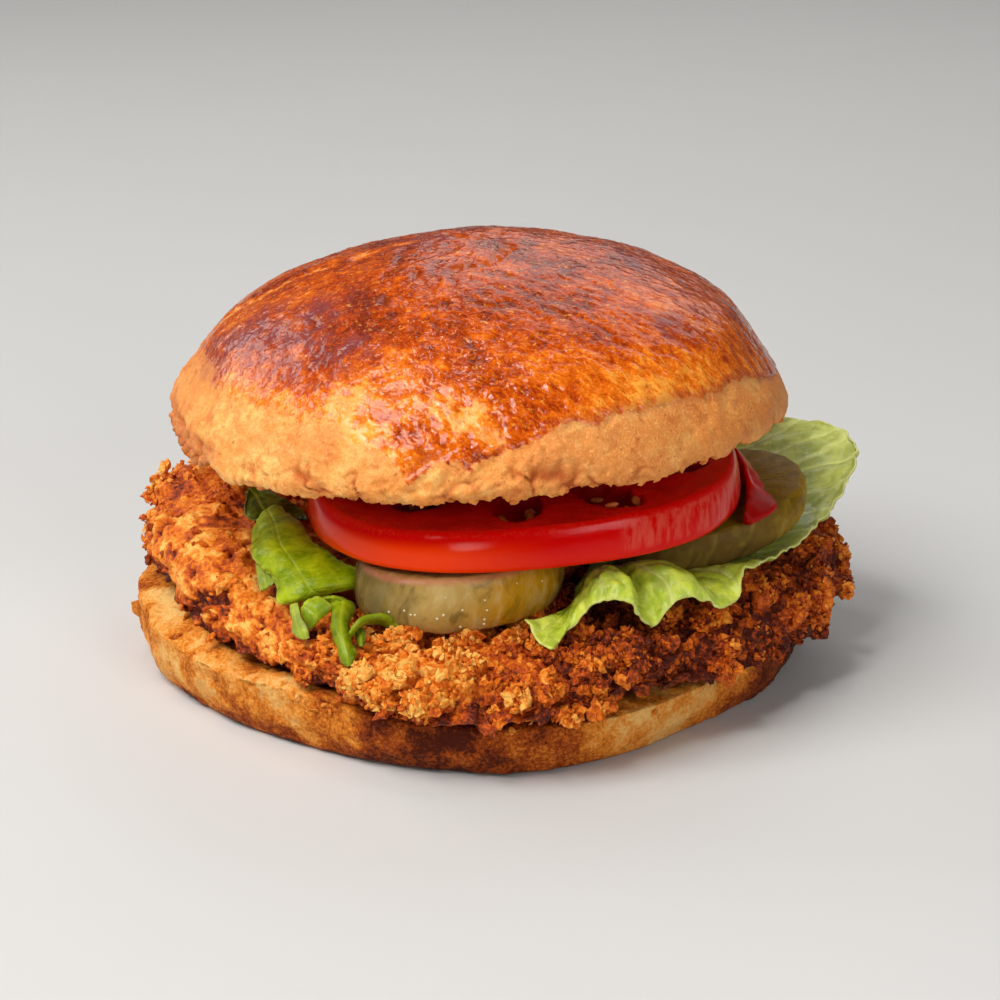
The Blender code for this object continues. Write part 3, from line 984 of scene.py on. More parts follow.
@dataclass(frozen=True)
class PickleFinish:
    """Pickled gherkin: wet olive flesh in a faintly streaked grey-green peel, whose pale default colours hold
    a painted sheen.
    """

    gloss: float = 0.16
    flesh: Colour = paint(148, 120, 34)
    # pale: lighter flesh, and pale peel streaks: real streaks whose paleness is partly a painted sheen
    pale: Colour = paint(206, 184, 130)
    # light grey-olive peel, partly a painted sheen
    peel: Colour = paint(182, 152, 84)
    olive: Colour = paint(186, 136, 20)
    dark: Colour = paint(72, 62, 26)
    # Pink light from the tomato, painted on the round's top edge.
    blush: Colour = paint(196, 120, 92)

    def make(self) -> bpy.types.Material:
        """Builds the material.

        Returns:
            The finished material.
        """
        r = Recipe("pickle_flesh")
        streak = r.noise(2.6, 4, 0.55, 0.5, (1, 1, 2.2), (0, 24, 0))
        cloud = r.noise(5, 3, 0.55, 0.3)
        peel = r.mix(r.stored("warm"), self.peel, self.olive)
        # Pale streaks on the peel, partly a painted sheen.
        peel = r.mix(r.band(streak, 0.46, 0.72, 0, 0.5), peel, self.pale)
        peel = r.mix(r.band(streak, 0.32, 0.46, 0.5, 0), peel, self.dark)
        peel = r.mix(r.band(cloud, 0.5, 0.75, 0, 0.4), peel, self.dark)
        peel = r.mix(r.stored("dim"), peel, self.dark)
        flesh = r.mix(r.band(cloud, 0.3, 0.7, 0, 0.25), self.flesh, self.pale)
        flesh = r.mix(r.stored("ray"), flesh, self.dark)
        colour = r.mix(r.stored("cut"), peel, flesh)
        # Painted pink glow from the tomato on the top edge.
        colour = r.mix(r.stored("blush"), colour, self.blush)
        normal = r.bump(r.noise(0.9, 3, 0.6), 0.1)
        rough = r.band(streak, 0.3, 0.7, 0.16, 0.34)
        return r.finish(colour, rough, normal, soak=0.4, soak_reach=(2.4, 1.7, 0.5), gloss=self.gloss)


@dataclass(frozen=True)
class BrineFinish:
    """Small drops of brine, painted near white to stand for the highlights on them."""

    # near-white paint for the highlights on the drops
    cloudy: Colour = paint(244, 236, 206)
    clear: Colour = paint(196, 180, 118)

    def make(self) -> bpy.types.Material:
        """Builds the material."""
        r = Recipe("brine")
        return r.finish(r.mix(r.noise(0.5, 2), self.cloudy, self.clear), 0.12, soak=0.3)


@dataclass(frozen=True)
class TomatoFinish:
    """Ripe tomato: tight glossy skin round wet flesh with seed gel in its pockets."""

    skin: Colour = paint(210, 2, 1)
    orange: Colour = paint(246, 66, 4)
    flesh: Colour = paint(206, 8, 5)
    gel: Colour = paint(150, 6, 2)
    # pale: lighter flesh grain, and the painted highlight flecks on the skin's top edge
    pale: Colour = paint(226, 70, 48)
    # Colour of a painted reflection of a light on the skin.
    bloom: Colour = paint(222, 96, 76)

    def make(self) -> bpy.types.Material:
        """Builds the material.

        Returns:
            The finished material.
        """
        r = Recipe("tomato_flesh")
        cloud = r.noise(6, 3, 0.5, 0.2)
        grain = r.noise(0.6, 4, 0.7)
        skin = r.mix(r.stored("orange"), self.skin, self.orange)
        # Pale pink streaks on the right of the skin: a painted reflection of a light, also made rougher.
        crease = r.noise(1.1, 3, 0.6, 0.3, (1, 1, 7), (0, 8, 0))
        veil = r.sums("MULTIPLY", r.stored("bloom"), r.band(crease, 0.35, 0.62))
        skin = r.mix(veil, skin, self.bloom)
        # Pale flecks along the skin's top edge: a painted speckled highlight.
        fleck = r.sums("MULTIPLY", r.stored("rim"), r.band(r.noise(0.55, 3, 0.6), 0.46, 0.7, 0, 0.6))
        skin = r.mix(fleck, skin, self.pale)
        flesh = r.mix(r.band(grain, 0.45, 0.75, 0, 0.35), self.flesh, self.pale)
        flesh = r.mix(r.band(cloud, 0.4, 0.7, 0, 0.5), flesh, self.gel)
        inside = r.mix(r.stored("gel"), flesh, self.gel)
        colour = r.mix(r.stored("skin"), inside, skin)
        normal = r.bump(r.sums("MULTIPLY", grain, r.band(r.stored("skin"), 0, 1, 1, 0.15)), 0.16)
        rough = r.sums("ADD", r.band(r.stored("skin"), 0, 1, 0.26, 0.12), r.sums("MULTIPLY", veil, 0.3))
        return r.finish(colour, rough, normal, soak=0.2, soak_reach=(2, 0.2, 0.1), gloss=0.17)


@dataclass(frozen=True)
class SeedFinish:
    """Tomato seeds: cream with a thin wet coat."""

    cream: Colour = paint(204, 124, 60)
    brown: Colour = paint(158, 62, 26)

    def make(self) -> bpy.types.Material:
        """Builds the material.

        Returns:
            The finished material.
        """
        r = Recipe("tomato_seed")
        colour = r.mix(r.noise(0.8, 3), self.cream, self.brown)
        return r.finish(colour, 0.2, r.bump(r.noise(0.3, 2), 0.05), soak=0.3)


@dataclass(frozen=True)
class FloorFinish:
    """A plain pale table top."""

    pale: Colour = paint(206, 204, 200)

    def make(self) -> bpy.types.Material:
        """Builds the material.

        Returns:
            The finished material.
        """
        r = Recipe("pale_floor")
        shade = tuple(0.97 * value for value in self.pale)
        return r.finish(r.mix(r.noise(60, 2), self.pale, shade), 0.6)


# -------------------- pieces


def dress(piece: bpy.types.Object, material: bpy.types.Material, node: str = "") -> None:
    """Gives a piece its finish and its place in the burger.

    Args:
        piece: the piece.
        material: its finish.
        node: the solid that it stands for, if there is one.
    """
    piece.data.materials.append(material)
    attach(piece, "root")
    if node:
        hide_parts(node)
    log.info("%s: %d faces", piece.name, len(piece.data.polygons))


@dataclass
class Crown:
    """The domed upper half of the bun."""

    node: str = "top_bun"
    centre: tuple[float, float] = (-0.8, 0)
    radii: tuple[float, ...] = (53.6, 53.6, 53.4, 53.2, 53.4, 53.2, 52.7, 52.8, 53, 52.6, 53.2, 53.8)
    rims: tuple[float, ...] = (46.4, 44.6, 42, 40.4, 40.4, 42.4, 44.6, 43.2, 45, 46.6, 47.9, 48.6)
    top: float = 73.6
    squareness: float = 1.88
    lean: float = 2.4
    edge_drop: float = 1.7
    # the underside bulges down to rest on the tomato: height there, slope and where it starts
    rest_height: float = 37.7
    rest_slope: float = 0.077
    rest_share: tuple[float, float] = (0.52, 0.98)
    # the dome is flatter near its two ends: how much, and at which share of its height
    end_shave: tuple[float, float] = (2.4, 1.9)
    shave_height: tuple[float, float] = (0.3, 0.25)
    columns: int = 560
    dome_rows: int = 128
    crumbs: int = 420
    # how far the matte side climbs over the rim before the glaze starts, every 15 degrees
    glaze_heights: tuple[float, ...] = (
        5.5, 6.5, 7.5, 8, 8, 8, 8, 8, 8, 8, 8.5, 9,
        10, 11, 11.4, 10.8, 8.6, 6.6, 5.6, 8.1, 9.1, 8.3, 7.7, 6,
    )
    seams: tuple[tuple[Point, ...], ...] = (
        ((-4.7, 6.2, 72.8), (-2.6, 1.9, 73.4), (0.4, 3.5, 73.3), (3.4, 5.5, 73.3)),
        ((4.6, -1.7, 73.4), (3.6, -6.7, 73.2), (1.8, -11.8, 72.7), (-1.4, -12.6, 72.4), (-4.1, -13.9, 72.2)),
        ((49.6, -12.7, 54.2), (48.1, -9.8, 57.1), (46.6, -7.3, 59)),
        ((-28, -44.5, 48), (-26.3, -46, 46.6), (-26, -46.5, 45.2), (-24, -47.2, 44.4)),
    )
    # the long tear over the left shoulder, where the glaze has split
    tear: tuple[Point, ...] = (
        (-42.5, 2, 59.6), (-39.4, -0.8, 62), (-35.3, -1, 64.7), (-30.2, -0.8, 67.1),
        (-25.1, -0.9, 69), (-20.2, 1, 70.4), (-16, 2.4, 71.3), (-12, 3.4, 72),
    )
    # the middle and the width of every dark patch: burnt crust, with a painted mauve sheen laid in it
    burn_spots: tuple[tuple[Point, float], ...] = (
        ((-28.6, -25.9, 62.8), 8.5), ((-26.4, -20.7, 65.4), 8), ((-37.5, -14.6, 61.7), 9.5),
        ((-43.6, -12.1, 57.8), 8), ((-46, -12.8, 54.9), 7), ((-20.1, -31.6, 63.6), 5.5),
        ((-33, -20, 62.5), 6), ((30, -24, 65.5), 3.6), ((43, -4, 60), 5),
        ((-10, 4, 72), 7), ((24, 2, 70.4), 5), ((-20, 30, 62), 8),
        ((15, 34, 62), 7),
    )
    # the same for the spots where the glaze is thin and the crust shows through
    thin_spots: tuple[tuple[Point, float], ...] = (
        ((-4.4, -46.6, 57.4), 4.6), ((-1, -46, 58.2), 3.6), ((-20.5, -41, 58.2), 4.4),
        ((2, -49.4, 54.8), 3),
    )
    streak_way: Point = (0.6, -0.2, -0.75)
    plate_way: Point = (0.75, 0, 0.66)

    def form(self) -> Skin:
        """Builds the plain dome with its cut edge and soft underside.

        Returns:
            The skin, with its height in millimetres over the rim.
        """
        degrees = front_weighted(self.columns, 0.36)
        radius = round_ring(degrees, self.radii)[None]
        rim = round_ring(degrees, self.rims)[None]
        turn = 0.5 * math.pi * np.linspace(0, 1, self.dome_rows)
        share = np.sin(turn)
        height = np.maximum(1 - share**self.squareness, 0) ** (1 / self.squareness)
        under = 0.5 * math.pi * np.linspace(0, 1, 9)[1:]
        deep = np.array([0.93, 0.89, 0.84, 0.77, 0.68, 0.55, 0.4, 0.2, 0])
        shares = np.concatenate([share, 1 - 0.032 * (1 - np.cos(under)), deep])[:, None]
        dome = np.concatenate([height, np.zeros(len(under) + len(deep))])[:, None]
        x, y = polar(self.centre, shares * radius, degrees[None])
        low = rim - self.edge_drop
        rest = self.rest_height + self.rest_slope * (x - 7.2)
        sunk = rest + (low - rest) * rise(shares, *self.rest_share)
        edge = np.concatenate([np.zeros(len(share)), self.edge_drop * np.sin(under), 0 * deep])[:, None]
        z = rim + dome * (self.top - rim) - edge
        inner = np.arange(len(shares))[:, None] >= len(share) + len(under)
        z = np.where(inner, sunk, z)
        turned = np.broadcast_to(degrees, z.shape)
        skin = Skin(settle(x + self.lean * dome, y, z, self.node), turned)
        right, left = (size * hump(np.abs(turn_gap(turned, way)), 0, 60)
                       for size, way in zip(self.end_shave, (0, 180)))
        shave = (right + left) * hump(dome + 0 * z, *self.shave_height)
        skin.points[..., 0] -= shave * np.cos(np.radians(turned))
        skin.points[..., 1] -= shave * np.sin(np.radians(turned))
        skin.height = skin.points[..., 2] - rim
        return skin

    def build(self) -> None:
        """Builds the crown, its relief and its finish."""
        skin = self.form()
        points, degrees, over = skin.points, skin.degrees, skin.height
        grain = Grain(11)
        dome = rise(over, -0.6, 1.2)
        streaked = drawn_out(points, self.streak_way, 2.6)
        neat = sector(degrees, 283, 362, 30)
        wobble = grain.layers(streaked, 7, 4, 0.6) * (1.9 - neat)
        limit = round_ring(degrees, self.glaze_heights) - 3.2 * hump(turn_gap(degrees, 259), 0, 4)
        soft = 0.6 + 3.4 * sector(degrees, 165, 252, 25)
        glaze = ease(0.5 + 0.5 * (over - limit + wobble) / soft) * dome
        line = hump(over - limit + wobble, 0.4, 0.8) * sector(degrees, 285, 356, 12)
        wrinkles = grain.ridges(streaked, 3.4, 4) - 0.66
        pits = grain.layers(drawn_out(points, self.streak_way, 1.7), 1.5, 3, 0.6)
        swell = 0.5 * grain.waves(points, 24) + 0.22 * grain.layers(points, 9, 2) - 0.35
        front = sector(degrees, 225, 330, 30) * rise(-over, -24, -8)
        relief = swell + glaze * ((0.42 + 0.24 * front) * wrinkles + (0.11 + 0.13 * front) * pits + 0.18)
        soft_lumps = 0.3 * grain.layers(points, 2.2, 3, 0.6) + 0.4 * grain.layers(points, 6, 2)
        bare = (1 - 0.66 * neat) * soft_lumps - self.pores(points, grain)
        relief = relief + (1 - glaze) * dome * bare
        plate = self.plates(skin, grain)
        relief = relief + 1.05 * plate
        crack = self.cracks(skin, grain)
        frayed = points + 0.9 * grain.waves(points, 1.8)[..., None]
        tear = self.near(frayed, self.tear, 1.7) * rise(grain.waves(points, 5), -0.7, -0.1)
        relief = relief - 0.85 * crack + tear * (1.2 * grain.ridges(points, 1.6, 3) - 1.2)
        ragged = hump(over, -1.3, 1.4)
        tooth = grain.ridges(points, 1.8, 4) - 0.6 + 0.5 * grain.waves(points, 5)
        relief = relief + ragged * 0.8 * tooth
        torn = sector(degrees, 180, 216, 8) * rise(-over, -4.4, -2.6)
        fibre = grain.layers(drawn_out(points, (-0.3, -0.3, 1), 3), 1.6, 3, 0.6)
        relief = relief + torn * (0.7 * fibre - 0.6)
        skin.push(relief)
        skin.points[..., 2] -= 0.8 * ragged * rise(tooth, -0.1, 0.4)
        # Dark mauve patches: burnt crust, and partly a painted sheen.
        burn = self.burns(self.burn_spots, points, grain) * glaze
        thin = self.burns(self.thin_spots, points, grain)
        golden = hump(np.linalg.norm(points - (30, -34, 61), axis=-1), 0, 13)
        fade = sector(degrees, 205, 256, 12) * (1 - rise(over - limit, 1, 5.5))
        shade = 0.62 - 0.2 * golden + 0.2 * rise(points[..., 2], 58, 73) - 0.4 * fade - 0.3 * tear
        shade = shade - 0.55 * thin - 0.34 * wrinkles * glaze - 0.1 * pits
        shade = shade - 0.16 * hump(over - limit, 2.5, 3.5) * sector(degrees, 300, 350, 20)
        side = 1 - sector(degrees, 193, 272, 34)
        climb = rise(over - limit, -8, 0) * sector(degrees, 165, 260, 20)
        tan = 0.72 * side + 0.5 * grain.layers(points, 6, 3, 0.6) + 0.7 * torn - 0.3 * plate
        tan = tan + 0.4 * climb - 0.3 * tear
        worn = (1 - 0.5 * rise(plate, 0.4, 0.9)) * (1 - 0.5 * tear) * (1 - 0.6 * thin)
        skin.values = {
            "glaze": np.clip(glaze * worn, 0, 1),
            "tan": np.clip(tan, 0, 1),
            "deep": np.clip(shade + 0.2 * grain.layers(streaked, 11, 2), 0, 1),
            "burn": np.clip((0.92 * burn + 0.35 * line) * (1 - tear) + 0.25 * torn, 0, 0.9),
            "crack": np.clip(
                crack + 0.8 * ragged * rise(-tooth, -0.1, 0.4) + 0.6 * torn * rise(-fibre, 0, 0.5)
                + 0.6 * rise(-plate, 0.02, 0.3), 0, 0.9,
            ),
        }
        material = CrownFinish().make()
        dress(skin.piece("crown_crust"), material, self.node)
        crumbs = Crumbs(41, splits=1, facets=True)
        crumbs.litter(
            skin, hump(over, -1.5, 0.5), 19, self.crumbs, (0.9, 0.35), ((1, 1.6), (), (0.6, 0.9)), 0.8,
            glaze=0, deep=0, burn=0, tan=(0.1, 0.9), crack=(0, 0.6),
        )
        dress(crumbs.piece("crown_crumbs"), material)

    def pores(self, points: Array, grain: Grain) -> Array:
        """Small round pits in the matte crust."""
        first, _, share = grain.pebbles(points, 2.3)
        return 0.45 * hump(first, 0, 0.22) * rise(share, 0.45, 0.6)

    def plates(self, skin: Skin, grain: Grain) -> Array:
        """Flaky slanting scales where the crust has stretched over the front rim.

        Args:
            skin: the plain form.
            grain: the noise to use.

        Returns:
            How far the crust stands out at every point.
        """
        where = sector(skin.degrees, 252, 288, 16) * rise(-skin.height, -10, -5)
        where = where * rise(skin.height, -1, 1)
        slanted = drawn_out(skin.points, self.plate_way, 3.2)
        scales = 1.5 * grain.ridges(slanted, 2.6, 3) - 0.85 + 0.3 * grain.waves(skin.points, 4)
        return where * np.clip(scales, -0.4, 1)

    def cracks(self, skin: Skin, grain: Grain) -> Array:
        """Splits in the crust: a few along the front edge, and long seams over the dome.

        Args:
            skin: the plain form.
            grain: the noise to use.

        Returns:
            How deep the crust is split at every point, from 0 to 1.
        """
        points, over = skin.points, skin.height
        first, second, _ = grain.pebbles(points + 1.2 * grain.waves(points, 2.5)[..., None], 8)
        splits = hump(second - first, 0, 0.05) * rise(-over, -4.5, -1.5) * rise(over, -2.2, -0.8)
        splits = splits * sector(skin.degrees, 225, 300, 12) * rise(grain.waves(points, 6), -0.3, 0.3)
        ragged = points + 0.7 * grain.waves(points, 1.6)[..., None]
        depth = 0.65 + 0.6 * grain.waves(points, 1.2)
        for path in self.seams:
            splits = np.maximum(splits, self.near(ragged, path, 1) * depth)
        return np.clip(splits, 0, 1)

    @staticmethod
    def near(points: Array, path: Sequence[Point], width: float) -> Array:
        """Tells how near points are to a path.

        Args:
            points: the points to test.
            path: the places that the path runs through.
            width: how far from the path the nearness fades.

        Returns:
            1 on the path and 0 away from it.
        """
        gap = np.full(points.shape[:-1], 99)
        for spot in read_along(path, np.linspace(0, 1, 40)):
            gap = np.minimum(gap, np.linalg.norm((points - spot) * (1, 1, 0.5), axis=-1))
        return hump(gap, 0, width)

    def burns(self, spots: Sequence[tuple[Point, float]], points: Array, grain: Grain) -> Array:
        """Patches round a few spots, broken up by noise.

        Args:
            spots: the middle and the width of each patch.
            points: the plain form.
            grain: the noise to use.

        Returns:
            How strong the patches are at every point.
        """
        total = np.zeros(points.shape[:-1])
        for spot, width in spots:
            gap = np.linalg.norm(points - np.array(spot), axis=-1)
            total = np.maximum(total, hump(gap, 0, width))
        rough = grain.layers(drawn_out(points, self.streak_way, 2.2), 3, 4, 0.7)
        return total * (0.3 + 0.7 * rise(rough + 0.5 * total, 0, 0.7))


@dataclass
class Heel:
    """The lower half of the bun, with its toasted cut face."""

    node: str = "bottom_bun"
    centre: tuple[float, float] = (-2.3, 0)
    cut_height: float = 9.4
    left_lift: float = 2.4
    radii: tuple[float, ...] = (
        58.2, 57.2, 56, 55.4, 55.4, 56, 57, 57.4, 57.6,
        57, 55, 53.4, 52.8, 54.4, 57, 55.6, 54.2, 56.6,
    )
    # how brown the side is, every 15 degrees
    toasts: tuple[float, ...] = (
        0.95, 0.7, 0.45, 0.36, 0.4, 0.42, 0.36, 0.34, 0.38, 0.36, 0.3, 0.36,
        0.4, 0.38, 0.42, 0.44, 0.52, 0.82, 0.88, 0.68, 0.3, 0.24, 0.74, 0.98,
    )
    columns: int = 560
    crumbs: int = 150

    def top(self, x: Array, y: Array) -> Array:
        """Height of the cut face, which curls up on the left."""
        return self.cut_height + self.left_lift * rise(-x, 30, 58) * rise(y, -30, 0)

    def reach(self, degrees: Array) -> Array:
        """Measures the distance from the stack's axis to the widest ring.

        Args:
            degrees: directions from the axis.

        Returns:
            The distance in every direction.
        """
        far = np.full_like(degrees, self.radii[0])
        for _ in range(4):
            x, y = polar((0, 0), far, degrees)
            from_centre = direction_of(x - self.centre[0], y - self.centre[1])
            far = far + round_ring(from_centre, self.radii) - np.hypot(x - self.centre[0], y - self.centre[1])
        return far

    def form(self) -> Skin:
        """Builds the plain heel.

        Returns:
            The skin, with its height as a share of the whole.
        """
        degrees = front_weighted(self.columns, 0.3)
        radius = round_ring(degrees, self.radii)[None]
        face = np.concatenate([[0, 0.3, 0.5, 0.62, 0.7], np.linspace(0.74, 0.965, 20)])
        bend = np.linspace(0, 1, 6)[1:]
        side = np.linspace(0.93, 0.17, 26)[1:]
        belly = np.interp(side, (0.17, 0.4, 0.65, 0.93), (0.97, 0.99, 1, 1))
        foot = np.linspace(0, 1, 6)[1:]
        base = np.array([0.86, 0.8, 0.65, 0.4, 0])
        shares = np.concatenate([
            face, 0.965 + 0.035 * np.sin(0.5 * math.pi * bend), belly,
            0.97 - 0.07 * (1 - np.cos(0.5 * math.pi * foot)), base,
        ])[:, None]
        height = np.concatenate([
            np.ones(len(face)), 1 - 0.07 * (1 - np.cos(0.5 * math.pi * bend)),
            side, 0.17 * (1 - np.sin(0.5 * math.pi * foot)), 0 * base,
        ])[:, None]
        x, y = polar(self.centre, shares * radius, degrees[None])
        z = height * self.top(x, y)
        every = (np.broadcast_to(values, z.shape) for values in (degrees, height))
        return Skin(settle(x, y, z, self.node), *every)

    def build(self) -> None:
        """Builds the heel, its relief and its finish."""
        skin = self.form()
        points, degrees, height = skin.points, skin.degrees, skin.height
        grain = Grain(23)
        foot = rise(height, 0, 0.12)
        edge = hump(height, 0.93, 0.1)
        dents = 0.42 * grain.layers(points, 9, 2) + 0.28 * grain.layers(points, 2, 3, 0.6)
        tooth = grain.ridges(points, 2, 4) - 0.55 + 0.5 * grain.waves(points, 6)
        left = sector(degrees, 150, 262, 20)
        inset = 0.9 * sector(degrees, 208, 246, 20) + 0.6 * sector(degrees, 284, 322, 16)
        relief = foot * (dents - inset) + edge * tooth * (0.5 + 0.6 * left)
        skin.push(relief)
        reach = np.hypot(points[..., 0] - self.centre[0], points[..., 1] - self.centre[1])
        puff = sector(degrees, 172, 250, 24) * hump(reach, 49, 7.5) * rise(height, 0.7, 0.95)
        skin.points[..., 2] += puff * (2.1 + 1.1 * grain.waves(points, 7))
        base = round_ring(degrees, self.toasts)
        patches = grain.layers(points + 7, 8, 4, 0.6)
        toast = base + (0.2 + 0.12 * left) * patches + 0.08 * (1 - rise(height, 0.1, 0.6))
        toast = toast + 0.24 * sector(degrees, 196, 240, 18) * (1 - rise(height, 0.04, 0.3))
        toast = toast + 0.4 * edge * left * rise(-tooth, -0.2, 0.4)
        toast = toast + 0.16 * rise(height, 0.97, 1) * (1 - left)
        toast = toast - 0.14 * puff + 0.3 * left * hump(reach, 45.5, 3) * rise(height, 0.9, 1)
        skin.values = {"toast": np.clip(toast, 0, 1)}
        material = HeelFinish().make()
        dress(skin.piece("heel_crust"), material, self.node)
        chance = hump(height, 0.9, 0.12) * (0.25 + sector(degrees, 176, 252, 20))
        crumbs = Crumbs(43, splits=1, facets=True)
        crumbs.litter(
            skin, chance, 29, self.crumbs, (1.2, 0.4), ((1, 1.8), (), (0.4, 0.7)), 0.7, toast=(0.3, 0.65),
        )
        dress(crumbs.piece("heel_crumbs"), material)


class CrumbKind(Enum):
    """Kinds of loose crumb: mean length, how many, how finely each is made, and how much they tilt."""

    CUTLET_FLAKES = (1.6, 1600, 2, 0.9)
    CUTLET_CRUMBS = (0.9, 7800, 1, 1.2)


@dataclass
class Cutlet:
    """The fried chicken in its coat of bread crumbs."""

    node: str = "chicken_cutlet"
    radii: tuple[float, ...] = (
        64, 63, 60.4, 58, 57.2, 58.6, 61.4, 64, 62.4,
        58.6, 54.6, 52.6, 54.2, 58.2, 58.8, 55.8, 56.2, 59.2,
    )
    shoulders: tuple[float, ...] = (
        22.2, 23.2, 24.4, 25, 25.2, 26, 27.2, 28.8, 29.2,
        27, 24.6, 21.4, 19.8, 19.4, 19.4, 19.6, 20, 21,
    )
    droops: tuple[float, ...] = (
        2.2, 1.6, 1.2, 1, 1, 1, 1.2, 1.4, 1,
        0, 0, 0, 1.4, 2, 2, 1.6, 2.2, 2.6,
    )
    middle_height: float = 19.6
    flat_to: float = 0.28
    shoulder_at: float = 0.8
    inset: float = 1.3
    columns: int = 720
    heel: Heel = field(default_factory=Heel)

    def top(self, x: Array, y: Array) -> Array:
        """Measures the height of the upper face.

        Args:
            x: how far right to measure.
            y: how far back to measure.

        Returns:
            The height at every place.
        """
        degrees = direction_of(x, y)
        share = np.hypot(x, y) / round_ring(degrees, self.radii)
        climb = rise(share, self.flat_to, self.shoulder_at)
        return self.middle_height + climb * (round_ring(degrees, self.shoulders) - self.middle_height)

    def form(self) -> Skin:
        """Builds the plain flattened body, drooping over the heel.

        Returns:
            The skin, with its height as a share of the whole.
        """
        degrees = front_weighted(self.columns, 0.36)
        reach = round_ring(degrees, self.radii)[None]
        face = np.concatenate([[0, 0.12, 0.22], np.linspace(0.3, 0.54, 14), np.linspace(0.555, 0.79, 28)])
        knots = np.array([
            (0.8, 1), (0.9, 0.94), (0.965, 0.78), (1, 0.52), (1, 0.28), (0.98, 0.07), (0.93, 0),
        ])
        side_share, side_height = read_along(knots, np.linspace(0, 1, 62)).T
        base = np.array([0.88, 0.82, 0.74, 0.62, 0.5, 0.3, 0])
        shares = np.concatenate([face, side_share, base])[:, None]
        height = np.clip(np.concatenate([np.ones(len(face)), side_height, 0 * base]), 0, 1)[:, None]
        x, y = polar((0, 0), shares * reach, degrees[None])
        low = self.heel.top(x, y) + 0.35
        outside = rise(shares * reach - self.heel.reach(degrees)[None], 0.6, 2)
        droop = round_ring(degrees, self.droops)[None] * outside
        z = low - (1 - height) * droop + height * (self.top(x, y) - low)
        every = (np.broadcast_to(values, z.shape) for values in (degrees, height))
        return Skin(settle(x, y, z, self.node), *every)

    def build(self) -> None:
        """Builds the coat, the flakes and the small crumbs on it."""
        skin = self.form()
        points, degrees, height = skin.points, skin.degrees, skin.height
        grain = Grain(37)
        seen = rise(np.hypot(points[..., 0], points[..., 1]), 10, 22)
        calm = sector(degrees, 172, 240, 26)
        # The right side, whose tone is lowered as painted shade.
        right = sector(degrees, 296, 395, 16)
        lumps = grain.layers(points, 10, 2)
        first, _, share = grain.pebbles(points + 1.1 * grain.waves(points, 2.4)[..., None], 4.6)
        mound = rise(0.62 - first, 0, 0.28) * rise(share, 0.2, 0.45) * (1 - 0.6 * calm)
        small, _, small_share = grain.pebbles(points + 0.5 * grain.waves(points, 1)[..., None], 1.7)
        fine = (0.52 - small) * (0.2 + small_share)
        crisp = (grain.ridges(points, 2, 4) - 0.66) * (1 - 0.4 * calm)
        hollow = calm * rise(-grain.layers(points + 90, 8, 4, 0.6), 0.1, 0.6)
        relief = 0.7 * lumps + 2 * (mound - 0.36) + (1 - 0.55 * calm) * fine + 1.1 * crisp - 1.3 * hollow
        skin.push(seen * (relief - self.inset))
        for axis in range(3):
            skin.points[..., axis] += seen * 0.35 * grain.layers(points + 17 * (axis + 1), 1.9, 2)
        # Lower part of the side, where the tone is darkened as painted shade.
        low = 1 - rise(height, 0, 0.5)
        # Tone: mounds and crests lighter, a painted highlight; hollows and the right side darker, painted
        # shade.
        tone = 0.27 + 0.26 * calm - 0.2 * right + 0.26 * mound + 0.5 * fine + 0.5 * crisp - 0.42 * hollow
        patchy = (0.2 + 0.16 * calm) * grain.layers(points, 5, 4, 0.65)
        # Painted shadow of the right lettuce leaf on the coat.
        shaded = sector(degrees, 282, 302, 10) * rise(height, 0.3, 0.7)
        tone = tone + 0.1 * lumps - (0.14 + 0.44 * calm) * low + patchy
        tone = tone + 0.3 * self.pale(points) - 0.3 * shaded
        skin.values = {"tone": np.clip(tone, 0, 1)}
        dress(skin.piece("cutlet_coat"), CrumbFinish().make(), self.node)
        self.add_crumbs(skin, mound, grain)

    @staticmethod
    def pale(points: Array) -> Array:
        """Mask of the pale, less fried batch of crumbs at the front left."""
        return hump(np.linalg.norm((points - (-11, -51, 18)) / (9, 7, 4), axis=-1), 0, 1)

    def add_crumbs(self, skin: Skin, mound: Array, grain: Grain) -> None:
        """Scatters flakes and small crumbs over the coat, most of them heaped on its mounds.

        Args:
            skin: the finished coat.
            mound: where the coat stands out, from 0 to 1.
            grain: the noise that thins the crumbs out.
        """
        outward, degrees, height = skin.outward(), skin.degrees, skin.height
        reach = np.hypot(skin.points[..., 0], skin.points[..., 1])
        seen = rise(reach, 27, 38) * rise(height, 0.03, 0.16)
        calm = sector(degrees, 172, 238, 22)
        # The right side, where crumbs are made darker as painted shade.
        right = sector(degrees, 296, 395, 16)
        front = sector(degrees, 236, 350, 24)
        thin = np.exp(1.2 * grain.layers(skin.points, 4, 2))
        for kind in CrumbKind:
            size, count, splits, lift = kind.value
            chance = seen * thin * (0.07 + mound**2) * (0.3 + 0.7 * front) * (1 - 0.7 * calm)
            rows, columns = spread(skin, chance, count, 5 + splits)
            draw = np.random.default_rng(70 + splits)
            scale = size * np.clip(draw.lognormal(0, 0.34, count), 0.4, 1.7)
            sizes = crumb_sizes(draw, scale, (0.9, 1.4), (0.7, 1), (0.4, 0.85))
            normal = outward[rows, columns]
            heap = mound[rows, columns]
            high = height[rows, columns]
            spots = skin.points[rows, columns] + normal * (draw.uniform(0, 0.9, count) * heap)[:, None]
            # Heaped crumbs lighter, a painted highlight; crumbs on the right, low on the side and under the
            # right leaf darker, painted shade.
            tone = draw.uniform(0.22, 0.7, count) + 0.18 * heap - 0.22 * right[rows, columns]
            tone = tone - (0.2 + 0.2 * calm[rows, columns]) * (1 - rise(high, 0, 0.4))
            # Painted shadow of the right lettuce leaf on the crumbs.
            shaded = sector(degrees[rows, columns], 282, 304, 10) * rise(high, 0.3, 0.7)
            tone = tone + 0.3 * self.pale(spots) - 0.26 * shaded
            crumbs = Crumbs(900 + splits, splits, lump=0.7, facets=True)
            crumbs.scatter(spots, normal, sizes, lift, tone=tone)
            dress(crumbs.piece(kind.name.lower()), CrumbFinish(kind.name.lower()).make())


